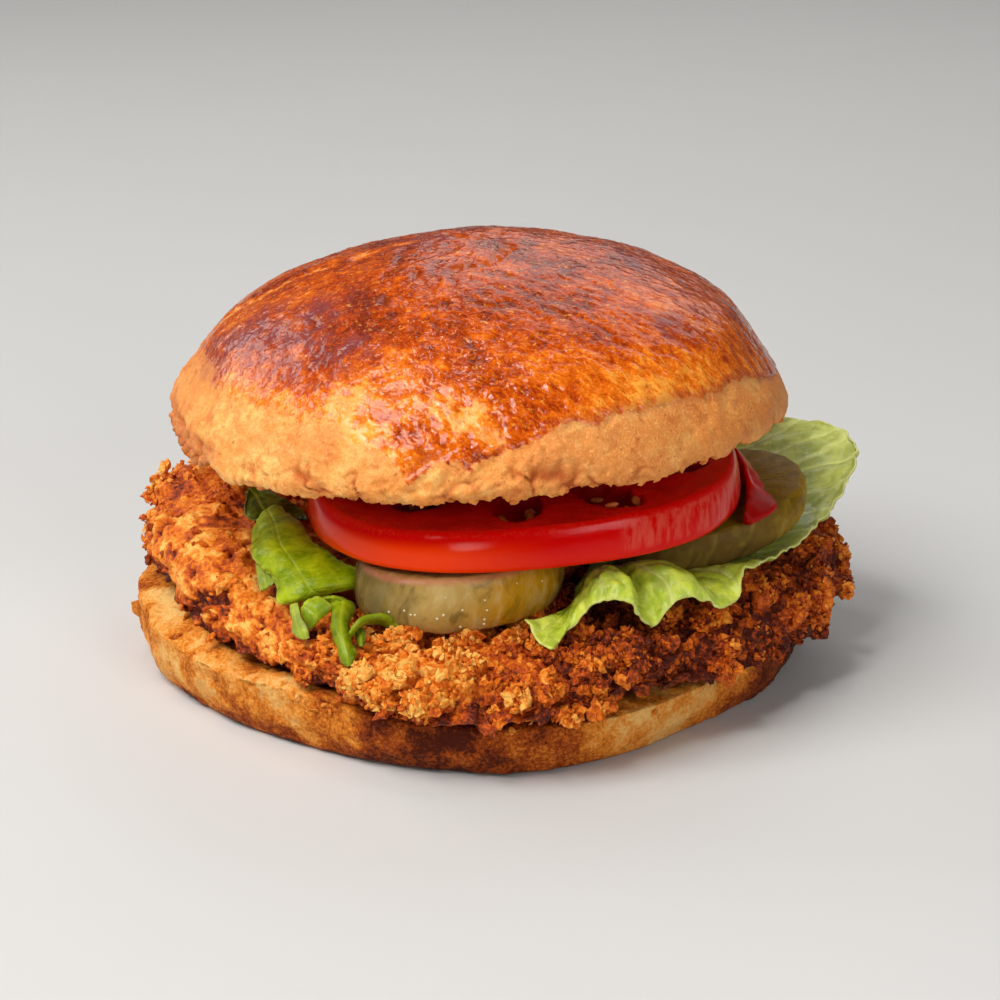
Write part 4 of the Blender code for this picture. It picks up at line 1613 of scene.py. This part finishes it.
@dataclass
class TomatoSlice:
    """The thick tomato slice, tilted up to the right, with its seeds."""

    node: str = "tomato_slice"
    centre: tuple[float, float] = (7.2, -9.3)
    radius: float = 37.3
    thickness: float = 6.8
    wedge: float = 0.02
    top: float = 37.9
    slope: float = math.tan(math.radians(4.4))
    flare: float = 0.03
    lobes: tuple[tuple[float, ...], ...] = ((3, 0.8, 338), (4, 0.5, 318), (5, 0.3, 245))
    # seed pockets: direction, reach, length, width, depth
    pockets: tuple[tuple[float, ...], ...] = (
        (226, 22, 15, 8.5, 3.6), (268, 23, 15, 8, 3.2), (303, 24, 17, 8.5, 3.8),
        (342, 24, 15, 9, 3.6), (28, 22, 15, 9, 3.2), (80, 21, 15, 9, 3.2),
        (132, 21, 15, 9, 3.2), (180, 22, 15, 9, 3.2),
    )
    columns: int = 400
    seeds_each: int = 8
    seed_height: float = 0.9

    def reach(self, degrees: Array) -> Array:
        """Radius of the slice in a direction."""
        return lobed(self.radius, self.lobes, degrees)

    def sink(self, x: Array, y: Array) -> Array:
        """Measures how deep the seed pockets are.

        Args:
            x: how far right to measure.
            y: how far back to measure.

        Returns:
            The depth at every place, and 0 outside the pockets.
        """
        deep = np.zeros(x.shape)
        for degrees, reach, length, width, depth in self.pockets:
            px, py = polar(self.centre, reach, degrees)
            turn = math.radians(degrees)
            along = (x - px) * math.cos(turn) + (y - py) * math.sin(turn)
            across = (y - py) * math.cos(turn) - (x - px) * math.sin(turn)
            taper = 1 + 0.25 * along / length
            gap = (2 * along / length) ** 2 + (2 * across / (width * taper)) ** 2
            deep = np.maximum(deep, depth * np.clip(1 - gap**1.6, 0, 1) ** 0.45)
        return deep

    def build(self) -> None:
        """Builds the slice and its seeds."""
        degrees = front_weighted(self.columns, 0.36)
        reach = self.reach(degrees)[None]
        down = np.linspace(0, 1, 26)
        turn = math.pi * down
        bulge = 0.25 * self.thickness / self.radius
        face = np.concatenate([[0, 0.12, 0.24], np.linspace(0.34, 0.992 - bulge - self.flare, 54)])
        side = 1 - bulge * (1 - np.sin(turn) ** 0.5) - 0.5 * self.flare * (1 + np.cos(turn))
        base = np.array([0.9, 0.8, 0.6, 0.3, 0])
        shares = np.concatenate([face, side, base])[:, None]
        height = np.concatenate([np.ones(len(face)), 0.5 + 0.5 * np.cos(turn), 0 * base])[:, None]
        x, y = polar(self.centre, shares * reach, degrees[None])
        thickness = self.thickness + self.wedge * (x - self.centre[0])
        z = self.top + self.slope * (x - self.centre[0]) - (1 - height) * thickness
        skin = Skin(settle(x, y, z, self.node))
        points = skin.points
        grain = Grain(51)
        wall = points + 0.5 * grain.layers(points, 3, 2)[..., None]
        deep = self.sink(wall[..., 0], wall[..., 1]) * (height > 0.99)
        points[..., 2] -= 0.97 * deep
        wrap = rise(down, 0.02, 0.08) * rise(-down, -0.97, -0.9)
        peel = np.concatenate([np.zeros(len(face)), wrap, np.zeros(len(base))])[:, None] + 0 * deep
        cut = (1 - peel) * rise(height, 0.9, 1)
        flat = 0.1 * grain.layers(points, 1.4, 3) + 0.16 * grain.waves(points, 5)
        turned = np.broadcast_to(degrees, deep.shape)
        crease = grain.waves(np.stack([turned * 0.9, 0 * turned, 0.12 * points[..., 2]], -1), 1)
        # Where the skin carries a painted reflection of a light; small creases are pushed in there too.
        bloom = sector(turned, 296, 356, 5) * rise(height, 0.12, 0.3) * rise(-height, -0.93, -0.85)
        rim = hump(np.arange(len(shares)), len(face), 3)[:, None]
        lip = rim * 0.12 * grain.layers(points, 0.9, 2, 0.7)
        skin.push(cut * flat + lip + peel * (0.14 * grain.waves(points, 9) + 0.05 * bloom * crease))
        skin.values = {
            "skin": peel,
            "gel": rise(deep, 0.1, 0.9),
            "orange": np.clip(
                0.9 * sector(turned, 205, 262, 40) * rise(-height, -0.85, -0.5)
                + 0.12 * sector(turned, 262, 300, 20) * rise(-height, -0.5, -0.2), 0, 1,
            ) + 0 * turned,
            # mask of the painted reflection
            "bloom": 0.5 * bloom + 0 * turned,
            # painted speckled highlight along the skin's top edge
            "rim": hump(height, 0.9, 0.07) * (0.6 + 0.5 * grain.waves(points, 4)) * peel,
        }
        dress(skin.piece("tomato_flesh"), TomatoFinish().make(), self.node)
        self.add_seeds()

    def add_seeds(self) -> None:
        """Lays flat pale seeds in the pockets that the gel holds."""
        draw = np.random.default_rng(77)
        spots, normals = [], []
        for degrees, reach, length, *_ in self.pockets:
            for _ in range(self.seeds_each):
                turn = degrees + draw.uniform(-8, 8)
                far = reach + draw.uniform(-0.3, 0.42) * length
                x, y = polar(self.centre, far, np.array(turn))
                floor = self.top + self.slope * (x - self.centre[0]) - self.sink(x, y)
                spots.append((float(x), float(y), float(floor) + 0.5))
                normals.append((draw.normal() * 0.5, -0.4 + draw.normal() * 0.4, 1))
        count = len(spots)
        sizes = crumb_sizes(draw, np.ones(count), (2.4, 3.1), (1.6, 2.1), ()) * (1, 1, self.seed_height)
        seeds = Crumbs(31, rough=0.02, lump=0.1)
        seeds.scatter(np.array(spots), np.array(normals), sizes, 0.2)
        dress(seeds.piece("tomato_seeds"), SeedFinish().make())


@dataclass
class TomatoStrip:
    """The strip of rind and flesh that lies against the right end of the slice."""

    node: str = "tomato_strip"
    # direction from the slice's centre, width, height of the upper side
    stations: tuple[tuple[float, ...], ...] = (
        (58, 1.6, 36.6), (45, 2, 36.8), (30, 2.2, 36.6), (15, 2.4, 36.2), (2, 2.8, 35.6),
        (-5, 3.4, 35), (-9, 4.6, 34.3), (-12.5, 5.2, 33.8), (-16, 3.8, 33.2), (-19, 1.8, 32.4),
    )
    gap: float = 0.35
    rows: int = 120
    sides: int = 40

    def build(self, tomato: TomatoSlice, pickle: "Pickle") -> None:
        """Builds the strip between the slice and the pickle.

        Args:
            tomato: the slice that it hugs.
            pickle: the pickle that it rests on.
        """
        degrees, width, top = read_along(self.stations, np.linspace(0, 1, self.rows)).T
        turn = -2 * math.pi * np.arange(self.sides) / self.sides
        across = np.sign(np.cos(turn)) * np.abs(np.cos(turn)) ** 0.6
        up = 0.5 + 0.5 * np.sign(np.sin(turn)) * np.abs(np.sin(turn)) ** 0.6
        middle = tomato.reach(degrees) + self.gap + 0.5 * width
        far = middle[:, None] + 0.5 * width[:, None] * across[None]
        x, y = polar(tomato.centre, far, degrees[:, None])
        low = pickle.face(x, y) + self.gap
        z = low + up[None] * (top[:, None] - low) * (1 - 0.35 * across[None])
        points = settle(x, y, z, self.node)
        ends = [points[index].mean(0, keepdims=True).repeat(self.sides, 0) for index in (0, -1)]
        skin = Skin(np.concatenate([ends[0][None], points, ends[1][None]]))
        bump = 0.14 * Grain(63).layers(skin.points, 2.2, 2)
        normal = skin.outward()
        normal[[0, -1]] = 0
        skin.points = skin.points + normal * bump[..., None]
        share = np.linspace(0, 1, self.rows + 2)[:, None] + 0 * skin.points[..., 0]
        skin.values = {
            "skin": 1 - rise(share, 0.55, 0.7),
            "gel": rise(share, 0.5, 0.9) * 0.7,
            "orange": 0 * share,
            "bloom": 0 * share,
            "rim": 0 * share,
        }
        dress(skin.piece("tomato_rind"), TomatoFinish().make(), self.node)


@dataclass
class Pickle:
    """A thick round of pickled gherkin."""

    node: str
    centre: tuple[float, float]
    radius: float
    base: float
    thickness: float
    tilt: tuple[float, float]
    floor: float
    seed: int
    warm_from: float
    finish: PickleFinish = PickleFinish()
    # how strongly the tomato's pink glow is painted on the top edge
    blush: float = 0
    drops: int = 0
    lobes: tuple[tuple[float, ...], ...] = ((2, 0.5, 40), (3, 0.35, 95))
    columns: int = 220

    def lift(self, x: Array, y: Array) -> Array:
        """How much higher the round is at a place than at its centre."""
        roll, pitch = (math.tan(math.radians(degrees)) for degrees in self.tilt)
        return roll * (x - self.centre[0]) + pitch * (y - self.centre[1])

    def face(self, x: Array, y: Array) -> Array:
        """Height of the cut face, carried on past the rim."""
        return self.base + self.thickness + self.lift(x, y)

    def build(self) -> None:
        """Builds the round with its peel and its cut face."""
        degrees = front_weighted(self.columns, 0.3)
        reach = lobed(self.radius, self.lobes, degrees)[None]
        bulge = 0.22 * self.thickness / self.radius
        face = np.concatenate([[0], np.linspace(0.08, 0.988 - bulge, 30)])
        down = np.linspace(0, 1, 26)
        turn = math.pi * down
        side = 1 - bulge * (1 - np.sin(turn))
        base = np.array([0.8, 0.5, 0])
        shares = np.concatenate([face, side, base])[:, None]
        height = np.concatenate([np.ones(len(face)), 0.5 + 0.5 * np.cos(turn), 0 * base])[:, None]
        x, y = polar(self.centre, shares * reach, degrees[None])
        z = np.maximum(self.base + height * self.thickness + self.lift(x, y), self.floor)
        skin = Skin(settle(x, y, z, self.node))
        points = skin.points
        grain = Grain(self.seed)
        cut = np.concatenate([np.ones(len(face)), 1 - rise(down, 0.03, 0.12), np.zeros(len(base))])[:, None]
        cut = cut + 0 * z
        folds = grain.layers(drawn_out(points, (0.25, 0, 1), 4), 3, 3)
        warts = rise(grain.waves(points, 3), 0.3, 0.9)
        relief = (1 - cut) * (0.22 * folds + 0.22 * warts) + cut * 0.06 * grain.layers(points, 2, 2)
        skin.push(relief)
        turned = np.broadcast_to(degrees, z.shape)
        rays = rise(np.cos(np.radians(turned * 21) + 2 * grain.waves(points, 9)), 0.5, 1)
        warm = rise(turn_gap(turned, self.warm_from), 0, 40) + 0.3 * grain.waves(points, 6)
        high = np.broadcast_to(height, z.shape)
        skin.values = {
            "cut": cut,
            "warm": np.clip(warm, 0, 1),
            "ray": 0.3 * rays * rise(shares, 0.3, 0.6) + 0 * turned,
            # painted pink glow from the tomato
            "blush": self.blush * rise(high, 0.86, 0.95) * (1 - 0.6 * cut),
            "dim": 0.75 * sector(turned, 150, 240, 34) * (0.8 + 0.4 * grain.waves(points, 4)),
        }
        dress(skin.piece(f"{self.node}_flesh"), self.finish.make(), self.node)
        if self.drops:
            self.add_drops(skin, degrees, height)

    def add_drops(self, skin: Skin, degrees: Array, height: Array) -> None:
        """Leaves small bright drops of brine on the front of the peel.

        Args:
            skin: the finished round.
            degrees: direction of every column.
            height: share of the height of every row.
        """
        chance = rise(height, 0.1, 0.3) * rise(-height, -0.95, -0.8)
        chance = chance * sector(degrees, 225, 318, 20)[None]
        rows, columns = spread(skin, chance, self.drops, self.seed)
        draw = np.random.default_rng(self.seed)
        scale = draw.uniform(0.26, 0.56, self.drops)
        sizes = np.stack([scale, scale, 0.7 * scale], -1)
        drops = Crumbs(47, rough=0, lump=0)
        drops.scatter(skin.points[rows, columns], skin.outward()[rows, columns], sizes, 0)
        dress(drops.piece("pickle_drops"), BrineFinish().make())


def loft(stations: tuple, rows: int, columns: int) -> tuple[Array, Array, Array]:
    """Spans a sheet over stations of three points: one side, the middle and the other side.

    Args:
        stations: the stations, in order.
        rows: how many rows the sheet has along it.
        columns: how many points a row has.

    Returns:
        The share along the sheet and the share across it at every point, and the points.
    """
    u = np.linspace(0, 1, rows)
    v = np.linspace(0, 1, columns)[None, :, None]
    near, middle, far = (row[:, None] for row in np.moveaxis(read_along(stations, u), 1, 0))
    bow = 2 * middle - 0.5 * (near + far)
    points = (1 - v) ** 2 * near + 2 * v * (1 - v) * bow + v * v * far
    share = v[..., 0] + 0 * points[..., 0]
    return np.broadcast_to(u[:, None], share.shape), share, points


@dataclass
class Leaf:
    """A ruffled lettuce leaf, lofted through stations of root, middle and edge."""

    stations: tuple
    seed: int
    white_from: float
    rows: int = 340
    columns: int = 36
    thickness: float = 0.55
    ruffle: float = 1

    def sheet(self, cutlet: Cutlet, pickle: Pickle) -> Sheet:
        """The leaf as one sheet with veins, ruffles and a ragged edge.

        Args:
            cutlet: what the leaf lies on.
            pickle: what lies on the leaf.

        Returns:
            The sheet.
        """
        grain = Grain(self.seed)
        along, share, path = loft(self.stations, self.rows, self.columns)
        x, y = polar((0, 0), path[..., 1], path[..., 0])
        height = path[..., 2]
        under = np.maximum(pickle.face(x, y) - pickle.thickness, pickle.floor) - 0.7
        far = np.hypot(x - pickle.centre[0], y - pickle.centre[1])
        held = 1 - rise(far, pickle.radius + 0.6, pickle.radius + 2.4)
        height = height + held * (np.minimum(height, under) - height)
        height = np.maximum(height, cutlet.top(x, y) + 0.7)
        points = np.stack([x, y, height], -1)
        length = np.concatenate([[0], np.cumsum(np.linalg.norm(np.diff(points[:, -1], axis=0), axis=-1))])
        flat = np.stack([length[:, None] + 0 * x, share * 22, 0 * x], -1)
        vein = ribbed(flat, share, grain, 8.5)
        waves = grain.waves(flat * (1, 0.35, 1), 5.5) + 0.6 * grain.waves(flat * (1, 0.5, 1), 2.6)
        sheet = Sheet(points, self.thickness * (1 - 0.45 * share**3))
        pucker = 0.5 * grain.waves(flat, 3) * rise(share, 0.25, 0.6)
        sheet.push((1 - held) * (self.ruffle * waves * share**3 + pucker + 0.4 * vein))
        stripe = rise(grain.waves(flat * (1, 0.16, 1) + 40, 3.4), 0, 0.5)
        back = rise(along, self.white_from - 0.12, self.white_from + 0.08)
        trim(sheet, grain, flat, share, 0.8 - 0.5 * back)
        sheet.values = {
            "vein": np.clip((0.8 + 0.2 * back) * vein + 0.5 * back * stripe, 0, 1),
            "white": np.clip(
                0.2 * back + 0.12 * rise(share, 0.4, 0.9) + 0.36 * rise(share, 0.96, 1), 0, 1,
            ),
            # painted shade: darker near the root and towards the back of the leaf, broken up by noise
            "shade": 0.3 * (1 - rise(share, 0.2, 0.5)) + 0.16 * grain.waves(flat, 6)
            + 0.5 * rise(along, 0.5, 0.8),
        }
        return sheet


def ribbed(flat: Array, share: Array, grain: Grain, spacing: float) -> Array:
    """Ribs that run across a leaf to its edge, with a finer net between them.

    Args:
        flat: places on the leaf when it is laid out flat, in millimetres.
        share: share of the way from root to edge.
        grain: the noise to use.
        spacing: the distance between ribs.

    Returns:
        How strong a vein is at every place.
    """
    drift = 2 * grain.waves(flat, 9)
    ribs = np.abs(((flat[..., 0] + drift + 5 * share) / spacing + 0.5) % 1 - 0.5) * spacing
    main = hump(ribs, 0, 0.75 - 0.3 * share)
    first, second, _ = grain.pebbles(flat + 0.5 * grain.waves(flat, 2)[..., None], 3.6)
    net = hump(second - first, 0, 0.09)
    return np.maximum(main, 0.45 * net)


def trim(sheet: Sheet, grain: Grain, flat: Array, share: Array, depth: float) -> None:
    """Cuts small uneven teeth into the outer edge of a leaf.

    Args:
        sheet: the leaf.
        grain: the noise to use.
        flat: places on the leaf when it is laid out flat.
        share: share of the way from root to edge.
        depth: how deep the teeth are.
    """
    notch = depth * grain.ridges(flat * (1, 0, 1), 4, 3) - 0.55 * depth
    outward = unit(sheet.points[:, -1] - sheet.points[:, -2])
    sheet.points = sheet.points + outward[:, None] * (notch * share**6)[..., None]


@dataclass
class Frond:
    """A small fold, blade or curl of leaf, lofted through stations of edge, middle and edge."""

    stations: tuple
    rows: int
    columns: int
    seed: int
    white: float = 0.1
    # how much painted shade darkens the frond
    shade: float = 0
    vein_at: float = 0.5
    thickness: float = 0.5

    def sheet(self) -> Sheet:
        """Builds the frond with a mid vein and slanting side veins.

        Returns:
            The frond as one sheet.
        """
        grain = Grain(self.seed)
        along, share, points = loft(self.stations, self.rows, self.columns)
        length = float(np.linalg.norm(np.diff(points[:, self.columns // 2], axis=0), axis=-1).sum())
        width = np.linalg.norm(points[:, -1] - points[:, 0], axis=-1)[:, None]
        flat = np.stack([along * length, share * width, 0 * share], -1)
        off = (share - self.vein_at - 0.06 * np.sin(4 * along)) * width
        main = hump(off, 0, 0.3)
        slant = flat[..., 0] - 0.8 * np.abs(off) + 0.7 * grain.waves(flat, 5)
        side = hump(np.abs((slant / 4.2 + 0.5) % 1 - 0.5) * 4.2, 0, 0.22)
        first, second, _ = grain.pebbles(flat + 0.4 * grain.waves(flat, 2)[..., None], 2.6)
        vein = np.maximum(np.maximum(main, 0.7 * side), 0.35 * hump(second - first, 0, 0.09))
        edge = np.minimum(share, 1 - share)
        sheet = Sheet(points, self.thickness * (0.35 + 0.65 * rise(edge, 0, 0.2)))
        curl = 0.3 * grain.waves(flat, 1.8) * (1 - rise(edge, 0, 0.2))
        sheet.push(0.4 * grain.waves(flat, 5) + curl - 0.16 * vein)
        trim(sheet, grain, flat, share, 0.5)
        sheet.values = {
            "vein": np.clip(0.55 * vein, 0, 1),
            "white": np.clip(self.white + 0.16 * (1 - rise(edge, 0, 0.06)), 0, 1),
            "shade": np.clip(self.shade + 0.2 * grain.waves(flat, 5), 0, 1),
        }
        return sheet


@dataclass
class Lettuce:
    """Both leaves, the left one made of a fold with small curls round its end."""

    right: tuple = (
        ((300, 32, 20.6), (289, 41, 22.2), (279.5, 45.4, 22.6)),
        ((300.4, 31.5, 20.6), (290, 42, 22.4), (282.4, 52, 20.4)),
        ((300.8, 31, 20.6), (294, 41.2, 25.4), (288, 47.8, 22.2)),
        ((301.4, 30.5, 20.6), (296.5, 42, 28.4), (293.5, 49.5, 26.8)),
        ((302.2, 30, 20.6), (299.5, 43.6, 29.2), (298.5, 52, 26)),
        ((303.4, 29, 20.6), (303, 41.5, 25), (303, 50.5, 21)),
        ((306, 28, 20.6), (308, 43, 28.2), (308, 51.5, 25)),
        ((309, 27, 20.6), (313, 43.5, 27.6), (313, 53.5, 24.6)),
        ((312, 26, 20.6), (318, 43, 24.4), (318, 54.4, 22.4)),
        ((316, 25, 20.6), (324.5, 43, 24), (324.5, 53, 26.4)),
        ((324, 23, 20.6), (334, 44, 22.6), (334, 53.5, 25.4)),
        ((334, 22, 20.6), (345, 47, 23.6), (345, 56, 25.6)),
        ((348, 22, 20.8), (357, 52, 25), (357, 60.2, 28)),
        ((366, 24, 21.2), (368, 56.5, 28.4), (368, 66.3, 32.8)),
        ((380, 30, 21.8), (377, 56, 30.4), (377, 65, 34.6)),
        ((394, 36, 22.8), (392, 48, 28.6), (390, 57, 33.2)),
    )
    fold: tuple = (
        ((-37.7, -7.2, 26.6), (-36, -6.1, 28), (-34.2, -6.2, 28.4)),
        ((-38.4, -12.2, 25.2), (-34, -15.5, 28.2), (-30.4, -14.1, 28.4)),
        ((-37.5, -23, 25.7), (-32.7, -24.7, 28.2), (-27.6, -22.3, 28.2)),
        ((-35.6, -26.2, 24.8), (-30.4, -29.4, 27), (-24.7, -26.9, 27.8)),
        ((-33.3, -29.3, 23.5), (-28.3, -33.1, 25.8), (-22, -29.4, 27)),
        ((-32.2, -34.2, 21.6), (-25.9, -34.8, 24.4), (-18.7, -30.7, 25.6)),
        ((-26.1, -33.7, 22.3), (-22.9, -32.6, 23.2), (-19, -32.3, 23.6)),
    )
    tab: tuple = (
        ((-36.9, -23, 24.4), (-36.1, -24.2, 24.5), (-35.4, -25, 24.7)),
        ((-36.6, -25, 23.3), (-35.5, -25.6, 23.7), (-34.5, -26.6, 23.9)),
        ((-36.1, -27.5, 22.3), (-35.1, -27.3, 22.7), (-33.7, -28.4, 23.3)),
        ((-35.7, -28.9, 21.8), (-35, -28.4, 22.1), (-34.2, -28.5, 22.7)),
    )
    # The part of the left leaf under the crown's rim, painted dark as its shadow.
    shaded: tuple = (
        ((-40.4, 3.8, 27.6), (-40, 3.1, 28.2), (-38.9, 4.6, 28.5)),
        ((-40.2, -3.5, 27.5), (-39.1, 2, 27.2), (-35.9, 1.6, 28.2)),
        ((-39.6, -6.7, 26.6), (-37.1, -5.4, 27.1), (-33.3, -0.8, 27.6)),
        ((-37, -7.4, 26), (-33.9, -3.8, 26.2), (-30.8, -2.7, 26.8)),
        ((-33.3, -7.5, 25.2), (-31.4, -5.1, 25.4), (-29.3, -6.5, 26)),
    )
    back_curl: tuple = (
        ((-30.4, -36.9, 22.3), (-29.9, -37.1, 22.7), (-29.2, -37.2, 22.9)),
        ((-29.8, -38.4, 20.8), (-29.1, -39.7, 21.5), (-28.4, -40.3, 21.9)),
        ((-29.7, -40.3, 19.5), (-28.7, -41.6, 20.4), (-27.7, -42, 21.1)),
        ((-29.2, -41.9, 19), (-28.1, -43, 19.6), (-27.1, -43.1, 20.3)),
        ((-28.3, -42.8, 18.8), (-27.6, -43.4, 19.1), (-27, -43.5, 19.4)),
    )
    cup: tuple = (
        ((-28.6, -37.3, 20.9), (-28.2, -38.6, 23), (-27.3, -37.4, 23.7)),
        ((-28.4, -38.2, 20.6), (-27.4, -40.1, 22.9), (-26.3, -38, 24.3)),
        ((-27.8, -39.6, 20.3), (-26.8, -40.9, 22.7), (-25.2, -39.1, 24.4)),
        ((-27, -40.9, 19.9), (-25.8, -41.3, 22.2), (-24.1, -40, 23.9)),
        ((-26.6, -40.8, 20.1), (-25.3, -41.1, 21.7), (-23.6, -40.2, 23.1)),
    )
    blade: tuple = (
        ((-25.2, -38.8, 24.4), (-23.6, -39.4, 24.8), (-21.9, -38.9, 24.6)),
        ((-23.8, -39.1, 23.2), (-22, -39.3, 23.8), (-20, -38.3, 22.9)),
        ((-23.5, -41.6, 22.3), (-22.2, -43, 23.2), (-20.5, -41.3, 22)),
        ((-23.3, -43.7, 21.1), (-22.1, -45.4, 21.9), (-20.7, -43.5, 21.2)),
        ((-22.7, -46, 19.6), (-21.5, -47.7, 20.6), (-20.5, -46.1, 20.3)),
        ((-22.1, -48.5, 18.6), (-20.9, -49.7, 19.4), (-19.6, -48, 19.6)),
        ((-21.5, -49.6, 17.7), (-20.5, -50.4, 18.4), (-19.2, -49.4, 19)),
        ((-20.6, -50.4, 17.2), (-20.2, -50.6, 17.6), (-19.7, -50.4, 18)),
    )
    roll: tuple = (
        ((-20.4, -45.5, 19.9), (-20.3, -46.3, 21.3), (-20, -45.9, 22.1)),
        ((-19.9, -44.3, 20.1), (-19.4, -45.7, 22.2), (-19.1, -44.5, 22.9)),
        ((-19.1, -42.3, 20.3), (-18.1, -44.6, 22.8), (-17.9, -43.3, 23.1)),
        ((-17.7, -40.8, 20.6), (-16.6, -43.6, 22.9), (-16.1, -42.6, 23)),
        ((-15.8, -40.2, 20.5), (-14.9, -42.9, 22.5), (-14.6, -41.7, 22.5)),
        ((-14.1, -42, 20.4), (-13.5, -42.1, 21.3), (-13.2, -41.8, 21.7)),
        ((-12.7, -42.2, 20.3), (-12.2, -41.8, 20.5), (-11.9, -41.9, 20.7)),
    )
    ruffle: tuple = (
        ((-19.8, -43.5, 20.1), (-19.2, -43.5, 20.8), (-18.5, -44, 21.2)),
        ((-19.3, -45.3, 19.8), (-18.6, -45.5, 20.3), (-18, -45, 20.7)),
        ((-18.9, -47.2, 19.4), (-18.4, -47.4, 19.7), (-17.9, -46.8, 20.1)),
    )

    def build(self, cutlet: Cutlet, pickle: Pickle) -> None:
        """Builds both leaves.

        Args:
            cutlet: what the leaves lie on.
            pickle: the pickle that lies on the right leaf.
        """
        leaf = Leaf(self.right, 83, white_from=0.74).sheet(cutlet, pickle)
        piece = sheets_piece("lettuce_right_blade", [leaf])
        dress(piece, LeafFinish().make(), "lettuce_right")
        left = LeafFinish(
            "lettuce_fold", gloss=0.26, green=paint(118, 144, 0), light=paint(180, 198, 8),
            rib=paint(180, 196, 50),
        )
        fronds = (
            Frond(self.fold, 120, 60, 97, white=0, vein_at=0.45),
            Frond(self.tab, 20, 16, 98, shade=0.2),
            Frond(self.shaded, 44, 32, 99, white=0, shade=0.9),
            Frond(self.back_curl, 30, 14, 100, white=0.15, shade=0.1),
            Frond(self.cup, 30, 32, 101, white=0.02),
            Frond(self.blade, 60, 24, 102, white=0, shade=0.34),
            Frond(self.roll, 50, 26, 103, white=0.02, shade=0.16, vein_at=0.2),
            Frond(self.ruffle, 18, 12, 104, white=0, shade=0.8),
        )
        piece = sheets_piece("lettuce_left_fold", [frond.sheet() for frond in fronds])
        dress(piece, left.make(), "lettuce_left")


# -------------------- studio


@dataclass(frozen=True)
class SoftLight:
    """One soft square light: its place, the length of its side and its power in watts."""

    name: str
    place: Point
    width: float
    power: float


@dataclass
class Studio:
    """A pale floor, soft lights and the camera."""

    aim: Point = (3.4, 0, 27.3)
    distance: float = 510
    elevation: float = 19.5
    lens: float = 106.744
    sensor: float = 36
    nearest: float = 10
    floor_width: float = 6000
    lights: tuple[SoftLight, ...] = (
        SoftLight("key", (-430, -290, 730), 560, 7.8),
        SoftLight("back", (180, 620, 560), 640, 1.6),
        SoftLight("left", (-640, 430, 430), 420, 1.5),
        SoftLight("card", (330, -600, 330), 300, 1.5),
        SoftLight("spark", (-170, -640, 160), 120, 0.4),
        SoftLight("glint", (-190, -330, 780), 90, 0.5),
        SoftLight("over", (-130, 110, 860), 100, 0.5),
    )
    air_strength: float = 0.08
    air_colour: Colour = (0.92, 0.94, 1)

    def build(self) -> None:
        """Builds the floor, the lights, the air and the camera."""
        self.floor()
        for light in self.lights:
            self.hang(light)
        self.air()
        self.camera()

    def floor(self) -> None:
        """Lays the floor under the burger."""
        shape = bmesh.new()
        bmesh.ops.create_grid(shape, x_segments=8, y_segments=8, size=0.5 * self.floor_width * MM)
        mesh = bpy.data.meshes.new("floor")
        shape.to_mesh(mesh)
        shape.free()
        mesh.materials.append(FloorFinish().make())
        floor = put("floor", mesh)

    def hang(self, light: SoftLight) -> None:
        """Hangs one soft light that faces the burger.

        Args:
            light: the light.
        """
        lamp = bpy.data.lights.new(light.name, "AREA")
        lamp.size = light.width * MM
        lamp.energy = light.power
        held = put(light.name, lamp)
        held.location = Vector(light.place) * MM
        held.rotation_euler = (Vector(self.aim) - Vector(light.place)).to_track_quat("-Z", "Y").to_euler()

    def air(self) -> None:
        """Fills the room with weak pale light."""
        world = bpy.data.worlds.new("studio")
        world.use_nodes = True
        sky = world.node_tree.nodes["Background"]
        sky.inputs["Color"].default_value = (*self.air_colour, 1)
        sky.inputs["Strength"].default_value = self.air_strength
        bpy.context.scene.world = world

    def camera(self) -> None:
        """Points the camera at the front of the burger."""
        lens = bpy.data.cameras.new("camera")
        lens.lens = self.lens
        lens.sensor_width = self.sensor
        lens.clip_start = self.nearest * MM
        held = put("camera", lens)
        angle = math.radians(self.elevation)
        away = Vector((0, -math.cos(angle), math.sin(angle)))
        held.location = (Vector(self.aim) + self.distance * away) * MM
        held.rotation_euler = (-away).to_track_quat("-Z", "Y").to_euler()
        scene = bpy.context.scene
        scene.camera = held
        scene.view_settings.view_transform = "Standard"


def main() -> None:
    """Builds the burger from the heel up, then the studio."""
    logging.basicConfig(level=logging.INFO, format="%(name)s: %(message)s")
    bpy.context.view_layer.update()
    heel = Heel()
    cutlet = Cutlet(heel=heel)
    front_pickle = Pickle(
        "pickle_front", (-3.2, -28.2), radius=17, base=20.1, thickness=9.5, tilt=(3.5, 0),
        floor=20.1, seed=61, warm_from=262, blush=0.6, drops=15,
    )
    # The right round's finish: less gloss, and darker colours that paint the shade it lies in.
    dull = PickleFinish(
        gloss=0.04, flesh=paint(138, 108, 14), pale=paint(170, 148, 60), peel=paint(118, 92, 42),
        olive=paint(150, 112, 12),
    )
    right_pickle = Pickle(
        "pickle_right", (37.6, -5.2), radius=17.6, base=24.1, thickness=6.2, tilt=(13, 5),
        floor=22, seed=67, warm_from=300, finish=dull,
    )
    tomato = TomatoSlice()
    heel.build()
    cutlet.build()
    Lettuce().build(cutlet, right_pickle)
    front_pickle.build()
    right_pickle.build()
    tomato.build()
    TomatoStrip().build(tomato, right_pickle)
    Crown().build()
    Studio().build()
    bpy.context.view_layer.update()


if __name__ == "__main__":
    main()
